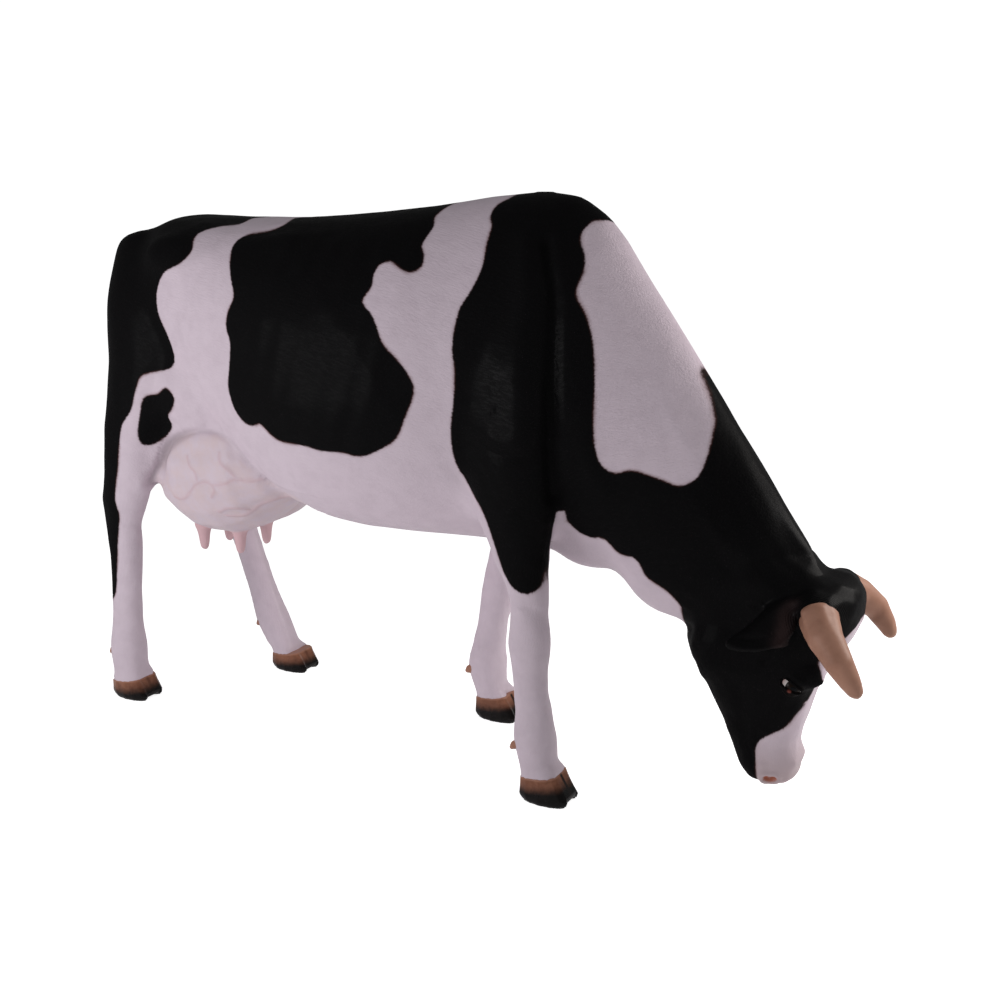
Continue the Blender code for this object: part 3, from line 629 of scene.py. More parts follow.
for side, sign in SIDES.items():
    out, along, up = eye_axes(sign)
    away = points - EYES[side]
    far = np.linalg.norm(away, axis=1)
    outward = away @ out
    forward = away @ along + SLIT_BACK
    upward = away @ up
    opening = lid_opening(forward, upward)
    on_ball = (far < SOCKET_REACH) & (outward > -0.004)
    open_part = faded(opening, -0.0002, 0.0012)
    rim = EYE_RADIUS + LID_RISE + LID_FOLD * bell(opening + LID_FOLD, LID_FOLD)
    lid_hold = (1 - faded(far, 0.029, SOCKET_REACH)) * faded(outward, -0.004, 0.008)
    lid = np.maximum(rim, np.where(upward > 0, far, np.minimum(far, rim + 0.004)))
    target = lid * (1 - open_part) + (EYE_RADIUS - SOCKET_DEPTH) * open_part
    on_lid = EYES[side] + away * pull(far, target, lid_hold)[:, None]
    points = np.where(on_ball[:, None], on_lid, points)
    brow = bell(upward - 0.020, 0.010) * bell(forward + 0.002, 0.028)
    points = points + np.where((far < 0.08) & (outward > -0.01), brow, 0)[:, None] * out * BROW_RISE
placed(shell.data, points)
normals = normals_of(shell.data)

# The nostrils, the mouth's line and the head's folds, given on the left side
MOUTH = (
    (0.834, 0.000, 0.086), (0.834, 0.035, 0.090), (0.833, 0.062, 0.110), (0.829, 0.070, 0.140),
    (0.820, 0.069, 0.170), (0.806, 0.068, 0.196),
)
# Each fold: width, height, and stops as x, across and z
HEAD_RELIEF = (
    (0.0030, -0.0060, MOUTH),
    (0.0120, 0.0040, (
        (0.846, 0.000, 0.082), (0.846, 0.038, 0.088), (0.848, 0.066, 0.112), (0.842, 0.072, 0.150),
    )),
    (0.0140, 0.0050, ((0.905, 0.100, 0.330), (0.880, 0.088, 0.280), (0.850, 0.076, 0.235))),
    (0.0200, -0.0045, ((0.790, 0.075, 0.235), (0.800, 0.080, 0.280), (0.790, 0.092, 0.330))),
    (0.0170, 0.0050, (
        (0.700, 0.070, 0.360), (0.690, 0.062, 0.320), (0.715, 0.055, 0.260), (0.745, 0.048, 0.200),
    )),
    (0.0060, -0.0035, (
        (0.640, 0.135, 0.560), (0.672, 0.130, 0.520), (0.690, 0.120, 0.470), (0.690, 0.110, 0.420),
    )),
    (0.0060, -0.0030, (
        (0.600, 0.140, 0.590), (0.632, 0.135, 0.530), (0.648, 0.120, 0.470), (0.646, 0.105, 0.430),
    )),
    (0.0090, -0.0040, (
        (0.700, 0.130, 0.640), (0.740, 0.128, 0.622), (0.790, 0.124, 0.615), (0.850, 0.116, 0.618),
    )),
    (0.0080, -0.0035, (
        (0.680, 0.135, 0.680), (0.740, 0.130, 0.660), (0.800, 0.126, 0.655), (0.870, 0.105, 0.660),
    )),
    (0.0090, -0.0050, (
        (0.866, 0.096, 0.520), (0.872, 0.104, 0.480), (0.868, 0.108, 0.440), (0.850, 0.108, 0.415),
    )),
    (0.0060, 0.0050, (
        (0.798, 0.194, 0.474), (0.822, 0.193, 0.471), (0.846, 0.186, 0.471), (0.871, 0.177, 0.475),
        (0.894, 0.168, 0.483),
    )),
    (0.0070, -0.0050, (
        (0.812, 0.190, 0.492), (0.840, 0.182, 0.489), (0.865, 0.172, 0.493), (0.885, 0.162, 0.503),
    )),
    (0.0060, 0.0045, (
        (0.898, 0.164, 0.487), (0.911, 0.154, 0.502), (0.918, 0.142, 0.524), (0.918, 0.128, 0.545),
    )),
    (0.0060, -0.0070, (
        (0.918, 0.150, 0.487), (0.929, 0.138, 0.505), (0.934, 0.126, 0.530), (0.933, 0.112, 0.552),
    )),
    (0.0110, 0.0070, ((0.912, 0.116, 0.562), (0.917, 0.112, 0.566))),
    (0.0060, -0.0040, (
        (0.799, 0.150, 0.512), (0.829, 0.130, 0.540), (0.859, 0.112, 0.560), (0.890, 0.100, 0.578),
    )),
)
NOSTRIL = ((0.857, 0.066, 0.121), (0.865, 0.065, 0.119), (0.873, 0.060, 0.123))
NOSTRIL_DEPTH = 0.007
NOSTRIL_RIM = 0.0045  # how far the skin stands up round the hole
lift = np.zeros(len(points))
for sign in SIDES.values():
    flip = np.array((1, sign, 1))
    for width, height, stops in HEAD_RELIEF:
        gap = gap_to(points, curve_through(stops) * flip, 4 * width + 0.01)
        lift += height * bell(gap, width)
    gap = gap_to(points, curve_through(NOSTRIL) * flip, 0.05)
    lift += NOSTRIL_RIM * bell(gap - 0.011, 0.006)
    lift -= NOSTRIL_DEPTH * bell(gap, 0.0062)
points = points + normals * lift[:, None]
placed(shell.data, points)
normals = normals_of(shell.data)


# The coat's paint: where it is black, and where it is white
# The shell is sprayed white, the black patches are airbrushed over it with a thin red-brown
# edge, and the udder, teats and nostrils are tinted pink by hand. Satin lacquer covers it all.

# Outlines of the black patches, as places along the body and heights
BLACK_RIGHT = {
    "rump": (
        (-0.56, 1.46), (-0.56, 1.38), (-0.552, 1.345), (-0.545, 1.327), (-0.590, 1.321), (-0.635, 1.303),
        (-0.622, 1.262), (-0.650, 1.231), (-0.705, 1.207), (-0.733, 1.165), (-0.735, 1.110), (-0.708, 1.052),
        (-0.687, 0.995), (-0.712, 0.963), (-0.790, 0.944), (-0.817, 0.902), (-0.838, 0.848), (-0.872, 0.805),
        (-0.889, 0.752), (-0.909, 0.677), (-0.938, 0.590), (-0.936, 0.538), (-0.952, 0.472), (-0.965, 0.389),
        (-0.985, 0.300), (-1.06, 0.27), (-1.25, 0.27), (-1.25, 1.46),
    ),
    "thigh_spot": (
        (-0.722, 0.915), (-0.693, 0.892), (-0.708, 0.860), (-0.742, 0.832), (-0.747, 0.798), (-0.785, 0.765),
        (-0.826, 0.748), (-0.834, 0.781), (-0.812, 0.846), (-0.795, 0.885), (-0.752, 0.897),
    ),
    "flank": (
        (-0.41, 1.46), (-0.41, 1.38), (-0.425, 1.350), (-0.393, 1.330), (-0.425, 1.313), (-0.476, 1.305),
        (-0.497, 1.284), (-0.488, 1.245), (-0.467, 1.197), (-0.452, 1.160), (-0.469, 1.120), (-0.473, 1.085),
        (-0.459, 1.048), (-0.467, 0.985), (-0.474, 0.940), (-0.460, 0.888), (-0.430, 0.858), (-0.396, 0.851),
        (-0.368, 0.860), (-0.344, 0.838), (-0.300, 0.823), (-0.225, 0.820), (-0.184, 0.812), (-0.130, 0.813),
        (-0.081, 0.807), (-0.026, 0.830), (0.015, 0.862), (0.033, 0.905), (0.051, 0.947), (0.054, 0.985),
        (0.026, 1.030), (-0.013, 1.068), (-0.033, 1.105), (-0.052, 1.138), (-0.078, 1.166), (-0.062, 1.197),
        (-0.064, 1.227), (-0.055, 1.246), (-0.034, 1.253), (-0.008, 1.240), (0.018, 1.230), (0.043, 1.241),
        (0.042, 1.268), (0.029, 1.292), (0.036, 1.330), (0.023, 1.353), (0.030, 1.38), (0.03, 1.46),
    ),
    "forequarter": (
        (0.19, 1.50), (0.188, 1.405), (0.164, 1.380), (0.163, 1.354), (0.177, 1.331), (0.180, 1.290),
        (0.182, 1.243), (0.168, 1.197), (0.148, 1.156), (0.141, 1.115), (0.140, 1.064), (0.146, 1.018),
        (0.144, 0.952), (0.133, 0.878), (0.134, 0.827), (0.141, 0.786), (0.155, 0.760), (0.176, 0.730),
        (0.208, 0.704), (0.230, 0.660), (0.249, 0.606), (0.265, 0.558), (0.288, 0.529), (0.323, 0.516),
        (0.349, 0.532), (0.356, 0.570), (0.372, 0.640), (0.380, 0.705), (0.386, 0.678), (0.405, 0.652),
        (0.438, 0.639), (0.460, 0.644), (0.478, 0.632), (0.495, 0.613), (0.520, 0.608), (0.540, 0.608),
        (0.555, 0.592), (0.568, 0.562), (0.610, 0.536), (0.640, 0.503), (0.640, 0.470), (0.62, 0.30),
        (0.70, -0.10), (1.40, -0.10), (1.40, 1.50),
    ),
}
BLACK_LEFT = {
    "rump": (
        (-0.56, 1.46), (-0.56, 1.38), (-0.552, 1.345), (-0.560, 1.31), (-0.605, 1.27), (-0.655, 1.21),
        (-0.650, 1.13), (-0.605, 1.05), (-0.610, 0.96), (-0.660, 0.89), (-0.735, 0.85), (-0.790, 0.80),
        (-0.850, 0.76), (-0.900, 0.70), (-0.940, 0.655), (-1.00, 0.64), (-1.25, 0.64), (-1.25, 1.46),
    ),
    "thigh_spot": (
        (-0.560, 0.985), (-0.515, 0.965), (-0.480, 0.905), (-0.505, 0.850), (-0.560, 0.842), (-0.590, 0.880),
        (-0.578, 0.925), (-0.592, 0.965),
    ),
    "flank": (
        (-0.41, 1.46), (-0.41, 1.38), (-0.420, 1.345), (-0.440, 1.30), (-0.475, 1.24), (-0.450, 1.17),
        (-0.375, 1.125), (-0.325, 1.06), (-0.345, 0.97), (-0.325, 0.88), (-0.250, 0.825), (-0.165, 0.815),
        (-0.095, 0.860), (-0.040, 0.935), (-0.055, 1.015), (-0.005, 1.080), (0.050, 1.150), (0.040, 1.225),
        (-0.005, 1.275), (0.025, 1.330), (0.030, 1.38), (0.03, 1.46),
    ),
    "forequarter": (
        (0.19, 1.50), (0.188, 1.405), (0.172, 1.360), (0.200, 1.290), (0.185, 1.210), (0.125, 1.140),
        (0.095, 1.050), (0.125, 0.965), (0.110, 0.880), (0.125, 0.800), (0.180, 0.735), (0.215, 0.675),
        (0.260, 0.640), (0.310, 0.635), (0.355, 0.665), (0.380, 0.715), (0.395, 0.672), (0.438, 0.640),
        (0.470, 0.640), (0.495, 0.613), (0.540, 0.606), (0.568, 0.562), (0.610, 0.536), (0.640, 0.503),
        (0.640, 0.470), (0.62, 0.30), (0.70, -0.10), (1.40, -0.10), (1.40, 1.50),
    ),
}
NECK_WHITE_RIGHT = (
    (0.412, 1.347), (0.393, 1.345), (0.382, 1.322), (0.385, 1.300), (0.399, 1.270), (0.403, 1.237),
    (0.397, 1.203), (0.404, 1.178), (0.422, 1.149), (0.439, 1.100), (0.449, 1.047), (0.454, 0.987),
    (0.456, 0.915), (0.462, 0.860), (0.476, 0.823), (0.503, 0.806), (0.540, 0.815), (0.576, 0.807),
    (0.609, 0.797), (0.650, 0.788), (0.688, 0.820), (0.697, 0.907), (0.684, 0.953), (0.664, 0.992),
    (0.642, 1.032), (0.640, 1.10), (0.56, 1.26), (0.46, 1.38),
)
NECK_WHITE_LEFT = (
    (0.420, 1.350), (0.405, 1.300), (0.440, 1.230), (0.445, 1.150), (0.500, 1.080), (0.560, 1.020),
    (0.610, 0.985), (0.650, 1.010), (0.642, 1.032), (0.640, 1.10), (0.56, 1.26), (0.46, 1.38),
)
MUZZLE_WHITE = (
    (1.10, 0.330), (0.945, 0.318), (0.926, 0.303), (0.894, 0.253), (0.871, 0.236), (0.842, 0.213),
    (0.830, 0.190), (0.832, 0.150), (0.834, 0.105), (0.834, 0.05), (1.10, 0.05),
)
RUMP_WAVE = 0.016
SWITCH_TOP = 0.735  # where the tail turns white
# The white chest between the forelegs: top, front, rear, and half its width ahead and behind
CHEST_TOP = 0.705
CHEST_FRONT = 0.384
CHEST_REAR = 0.10
CHEST_HALVES = (0.166, 0.112)
# The white blaze up the forehead: heights, and how far it reaches to the right and left
STRIPE_HEIGHTS = (0.270, 0.320, 0.360, 0.390, 0.430, 0.470, 0.485, 0.500, 0.510)
STRIPE_RIGHTS = (-0.050, -0.040, -0.046, -0.088, -0.094, -0.084, -0.066, -0.043, -0.005)
STRIPE_LEFTS = (0.050, 0.044, 0.040, 0.052, 0.066, 0.072, 0.066, 0.055, 0.045)
STRIPE_FOOT = 0.26
STRIPE_TOP = 0.512
LID_EDGE = (0.0265, 0.0285)  # the dark lid fades out between these distances from the eye's middle
RED_SPOT = (-0.003, -0.0095)  # the red of the lower lid lies here, along the slit and up


def side_black(flat, patches, neck_white):
    depth = np.max([depth_inside(flat, stops) for stops in patches.values()], axis=0)
    return np.minimum(depth, -depth_inside(flat, neck_white))


def noted(data, name, values):
    """Keeps a value for each corner of the mesh, for the paint to read."""
    data.attributes.new(name, "FLOAT", "POINT").data.foreach_set("value", values.astype(np.float32))


flat = points[:, (0, 2)]
# the patch's lower edge waves a little across the rump
flat[:, 1] += RUMP_WAVE * np.sin(42 * points[:, 1]) * faded(-points[:, 0], 0.93, 1.02)
right = side_black(flat, BLACK_RIGHT, NECK_WHITE_RIGHT)
left = side_black(flat, BLACK_LEFT, NECK_WHITE_LEFT)
left_share = faded(points[:, 1], -0.012, 0.012)
black = right * (1 - left_share) + left * left_share
stripe_right = points[:, 1] - np.interp(points[:, 2], STRIPE_HEIGHTS, STRIPE_RIGHTS)
stripe_left = np.interp(points[:, 2], STRIPE_HEIGHTS, STRIPE_LEFTS) - points[:, 1]
stripe = np.minimum(stripe_right, stripe_left)
face_front = points[:, 0] - 0.870 - 0.25 * (points[:, 2] - 0.30)
stripe = np.minimum(stripe, face_front)
stripe = np.minimum(stripe, np.minimum(points[:, 2] - STRIPE_FOOT, STRIPE_TOP - points[:, 2]))
face_white = np.maximum(depth_inside(flat, MUZZLE_WHITE), stripe)
black = np.minimum(black, -face_white)
# the tail's switch is left white
switch = np.minimum(SWITCH_TOP - points[:, 2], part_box("tail")[1].x + 0.02 - points[:, 0])
switch = np.minimum(switch, 0.05 - np.abs(points[:, 1]))
black = np.minimum(black, -switch)
# the chest between the forelegs is left white
inner_side = np.where(points[:, 0] > 0.335, *CHEST_HALVES) - np.abs(points[:, 1])
chest = np.minimum(inner_side, np.minimum(CHEST_TOP - points[:, 2], points[:, 0] - CHEST_REAR))
black = np.minimum(black, -np.minimum(chest, CHEST_FRONT - points[:, 0]))
noted(shell.data, "black_depth", np.clip(black, -OUTLINE_REACH, OUTLINE_REACH))

noted(shell.data, "udder_pink", faded(udder_depth, -0.002, 0.012))
noted(shell.data, "teat_pink", faded(teat_field, -0.012, 0.004) * (1 - faded(to_teats, 0.006, 0.012)))
noted(shell.data, "vein_pink", bell(vein_gap, 0.0045) * vein_side)
# Painted shade: the udder's crease and the hollow behind it are painted darker, where shade falls
shade = 0.55 * hollow + 0.45 * bell(udder_depth, 0.0050) * (0.35 + 0.65 * behind)
noted(shell.data, "painted_crease_shade", np.clip(shade * faded(np.abs(points[:, 1]), 0.06, 0.10), 0, 1))

lid_dark = np.zeros(len(points))
lid_red = np.zeros(len(points))
for side, sign in SIDES.items():
    out, along, up = eye_axes(sign)
    away = points - EYES[side]
    far = np.linalg.norm(away, axis=1)
    in_front = away @ out > -0.002
    lid_dark = np.maximum(lid_dark, (1 - faded(far, *LID_EDGE)) * in_front)
    from_spot = np.hypot(away @ along - RED_SPOT[0], away @ up - RED_SPOT[1])
    lid_red = np.maximum(lid_red, (1 - faded(from_spot, 0.002, 0.0060)) * in_front)
noted(shell.data, "lid_dark", lid_dark)
noted(shell.data, "lid_red", lid_red)
noted(shell.data, "nostril_red", 1 - faded(gap_to_either(points, NOSTRIL, margin=0.05), 0.0055, 0.0095))
noted(shell.data, "mouth_line", 1 - faded(gap_to_either(points, MOUTH, margin=0.03), 0.0, 0.006))

# Which way the moulded hair is combed, part by part: where each part fades out
NECK_REAR = (0.22, 0.42)
NECK_FOOT = (0.50, 0.62)
HEAD_REACH = (0.26, 0.36)
HEAD_REAR = (0.5, 0.6)
LEG_TOP = (0.56, 0.70)
LEG_FRONT = (0.46, 0.54)
neck_part = faded(points[:, 0], *NECK_REAR) * faded(points[:, 2], *NECK_FOOT)
head_part = 1 - faded(np.linalg.norm(points - HEAD_MIDDLE, axis=1), *HEAD_REACH)
head_part *= faded(points[:, 0], *HEAD_REAR)
leg_part = 1 - faded(points[:, 2], *LEG_TOP)
leg_part *= 1 - faded(points[:, 0], *LEG_FRONT)
noted(shell.data, "neck_hair", neck_part * (1 - head_part))
noted(shell.data, "leg_hair", np.maximum(leg_part, head_part))

# The udder and muzzle are bare, and the lacquer is rubbed behind the poll
BARE_MUZZLE_TOP = (0.135, 0.185)
NAPE = (0.930, 0.600)
udder_bare = faded(udder_depth, -0.006, 0.010)
muzzle_bare = (1 - faded(points[:, 2], *BARE_MUZZLE_TOP)) * (points[:, 0] > 0.70)
noted(shell.data, "bare_skin", np.maximum(udder_bare, muzzle_bare))
from_nape = np.hypot(points[:, 0] - NAPE[0], points[:, 2] - NAPE[1])
noted(shell.data, "rubbed", 1 - faded(from_nape, 0.07, 0.22))

# Where the lacquer is thickest: place, height, and how far it reaches along and up
POLISHED = ((0.098, 1.090, 0.070, 0.090), (0.262, 1.060, 0.055, 0.150), (0.415, 1.060, 0.050, 0.110))
polished = np.zeros(len(points))
for place, height, reach, rise in POLISHED:
    polished += bell(flat[:, 0] - place, reach) * bell(flat[:, 1] - height, rise)
noted(shell.data, "polished", np.clip(polished, 0, 1))
# The muzzle is painted pinker and darker towards its lower part: a pink tint and painted shade
noted(shell.data, "muzzle_pink_and_shade", (1 - faded(points[:, 2], 0.10, 0.25)) * (points[:, 0] > 0.78))

# Along the ear's lit front the black is painted a lighter dull brown: a brown tint and a painted highlight
EAR_LIT_FRONT = (
    (0.897, 0.165, 0.484), (0.901, 0.160, 0.505), (0.903, 0.155, 0.525), (0.900, 0.140, 0.548),
    (0.905, 0.128, 0.562),
)
noted(shell.data, "ear_painted_light", bell(gap_to_either(points, EAR_LIT_FRONT, margin=0.06), 0.016))


def seat_of(node, reach):
    """The middle of the part of a solid that lies against the shell."""
    spots = points_of(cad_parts[node].data)
    gaps = gap_to_solid(spots, "rest", np.ones(len(spots), bool))
    return spots[gaps < reach].mean(axis=0)


COLLAR_REACH = 0.13
HORN_SEATS = {side: seat_of(f"horn_{side}", reach=0.0030) for side in SIDES}
horn_gap = np.full(len(points), UNMEASURED)
for side in SIDES:
    horn = copied(f"horn_{side}")
    horn_tree = BVHTree.FromBMesh(horn)
    horn.free()
    for index in np.flatnonzero(np.linalg.norm(points - HORN_SEATS[side], axis=1) < COLLAR_REACH):
        horn_gap[index] = min(horn_gap[index], horn_tree.find_nearest(Vector(points[index]))[3])
noted(shell.data, "horn_gap", horn_gap)


def paint_node(tree, kind, values=(), **settings):
    """A shader node with its settings and the plain values of its inputs."""
    made = tree.nodes.new(kind)
    for key, value in settings.items():
        setattr(made, key, value)
    for key, value in dict(values).items():
        made.inputs[key].default_value = value
    return made


def maths(tree, operation, first, second=None, third=None):
    made = paint_node(tree, "ShaderNodeMath", operation=operation)
    for index, value in enumerate((first, second, third)):
        if value is None:
            continue
        if isinstance(value, (int, float)):
            made.inputs[index].default_value = value
        else:
            tree.links.new(value, made.inputs[index])
    return made.outputs[0]


def stepped(tree, value, start, end, low=0.0, high=1.0):
    """The value drawn from start..end onto low..high, smooth and held at both ends."""
    made = paint_node(tree, "ShaderNodeMapRange", interpolation_type="SMOOTHSTEP")
    for name, number in zip(("From Min", "From Max", "To Min", "To Max"), (start, end, low, high)):
        made.inputs[name].default_value = number
    tree.links.new(value, made.inputs["Value"])
    return made.outputs["Result"]


MIX_INPUTS = (0, 6, 7)  # where a colour mix takes its share and its two colours
MIX_OUTPUT = 2


def blended(tree, share, first, second):
    """Two colours, mixed by a share."""
    made = paint_node(tree, "ShaderNodeMix", data_type="RGBA")
    for index, value in zip(MIX_INPUTS, (share, first, second)):
        socket = made.inputs[index]
        if isinstance(value, (int, float)):
            socket.default_value = value
        elif isinstance(value, tuple):
            socket.default_value = (*value, 1.0)
        else:
            tree.links.new(value, socket)
    return made.outputs[MIX_OUTPUT]


def kept(tree, name):
    """A value that was noted for each corner of the mesh."""
    return paint_node(tree, "ShaderNodeAttribute", attribute_name=name).outputs["Fac"]


def clouds(tree, place, scale, detail=2.0, roughness=0.5):
    """A soft random pattern, finer for a larger scale."""
    settings = {"Scale": scale, "Detail": detail, "Roughness": roughness}
    made = paint_node(tree, "ShaderNodeTexNoise", settings)
    tree.links.new(place, made.inputs["Vector"])
    return made.outputs["Fac"]


def varied(tree, value, pattern, swing):
    """The value, moved up and down by a pattern that runs from 0 to 1."""
    return maths(tree, "MULTIPLY_ADD", maths(tree, "SUBTRACT", pattern, 0.5), swing, value)


def ringed(tree, gap, step, fade_from, fade_to, most):
    """Rings one step apart that are highest close by and fade with the distance."""
    rings = maths(tree, "SINE", maths(tree, "MULTIPLY", gap, 2 * math.pi / step))
    return maths(tree, "MULTIPLY", rings, stepped(tree, gap, fade_to, fade_from, high=most))


def new_paint(name):
    """An empty paint: its material, shader tree and surface shader."""
    material = bpy.data.materials.new(name)
    material.use_nodes = True
    return material, material.node_tree, material.node_tree.nodes["Principled BSDF"]


def place_on_object(tree):
    return paint_node(tree, "ShaderNodeTexCoord").outputs["Object"]


def raised(tree, shader, height, strength, distance):
    """Relief too fine for the mesh."""
    bump = paint_node(tree, "ShaderNodeBump", {"Strength": strength, "Distance": distance})
    tree.links.new(height, bump.inputs["Height"])
    tree.links.new(bump.outputs["Normal"], shader.inputs["Normal"])


def hair_group():
    """Short strokes of moulded hair that all lie one way; gives their height."""
    group = bpy.data.node_groups.new("moulded_hair", "ShaderNodeTree")
    group.interface.new_socket("Place", in_out="INPUT", socket_type="NodeSocketVector")
    for name in ("Turn", "Length", "Fineness"):
        group.interface.new_socket(name, in_out="INPUT", socket_type="NodeSocketFloat")
    group.interface.new_socket("Height", in_out="OUTPUT", socket_type="NodeSocketFloat")
    start = group.nodes.new("NodeGroupInput")
    end = group.nodes.new("NodeGroupOutput")
    links = group.links
    turned = paint_node(group, "ShaderNodeVectorRotate", rotation_type="Y_AXIS")
    links.new(start.outputs["Place"], turned.inputs["Vector"])
    links.new(start.outputs["Turn"], turned.inputs["Angle"])
    sizes = paint_node(group, "ShaderNodeCombineXYZ")
    for index, name in enumerate(("Length", "Fineness", "Fineness")):
        links.new(start.outputs[name], sizes.inputs[index])
    drawn = paint_node(group, "ShaderNodeVectorMath", operation="MULTIPLY")
    links.new(turned.outputs["Vector"], drawn.inputs[0])
    links.new(sizes.outputs["Vector"], drawn.inputs[1])
    strokes = {"Scale": 1.0, "Detail": 2.5, "Roughness": 0.62, "Distortion": 0.35}
    grain = paint_node(group, "ShaderNodeTexNoise", strokes)
    links.new(drawn.outputs["Vector"], grain.inputs["Vector"])
    links.new(grain.outputs["Fac"], end.inputs["Height"])
    return group


MOULDED_HAIR = hair_group()


def combed(tree, place, turn, length, fineness):
    """The moulded hair, slanting by so many degrees."""
    made = paint_node(tree, "ShaderNodeGroup", node_tree=MOULDED_HAIR)
    tree.links.new(place, made.inputs["Place"])
    made.inputs["Turn"].default_value = math.radians(turn)
    made.inputs["Length"].default_value = length
    made.inputs["Fineness"].default_value = fineness
    return made.outputs["Height"]


def mixed_value(tree, share, first, second):
    """first + (second - first) * share"""
    step = maths(tree, "SUBTRACT", second, first)
    return maths(tree, "MULTIPLY_ADD", step, share, first)


# Paint colours
WHITE_COAT = (0.640, 0.545, 0.615)
WHITE_MOTTLE_AND_GROOVE_SHADE = (0.600, 0.508, 0.575)
BLACK_COAT = (0.0036, 0.0034, 0.0038)
BLACK_WORN = (0.0080, 0.0074, 0.0078)
AIRBRUSHED_EDGE = (0.150, 0.050, 0.040)
UDDER_PINK = (0.640, 0.520, 0.550)
VEIN_PINK = (0.560, 0.370, 0.400)
TEAT_PINK = (0.660, 0.440, 0.470)
PAINTED_CREASE_SHADE = (0.230, 0.185, 0.205)
NOSTRIL_RED = (0.380, 0.120, 0.070)
LID_DARK = (0.004, 0.003, 0.003)
LID_RED = (0.170, 0.050, 0.040)
MUZZLE_PINK_AND_SHADE = (0.470, 0.375, 0.395)
EAR_PAINTED_LIGHT = (0.026, 0.016, 0.016)
COLLAR_RING_STEP = 0.0052  # combed rings in the hair round each horn
# The small tints over the coat, and the painted shade in the udder's crease, in the order they are laid on:
# where, colour and strength
TINTS = (
    ("teat_pink", TEAT_PINK, 1.0),
    ("painted_crease_shade", PAINTED_CREASE_SHADE, 1.0),
    ("nostril_red", NOSTRIL_RED, 0.95),
    ("lid_dark", LID_DARK, 1.0),
    ("lid_red", LID_RED, 1.0),
    ("mouth_line", BLACK_COAT, 0.9),
)


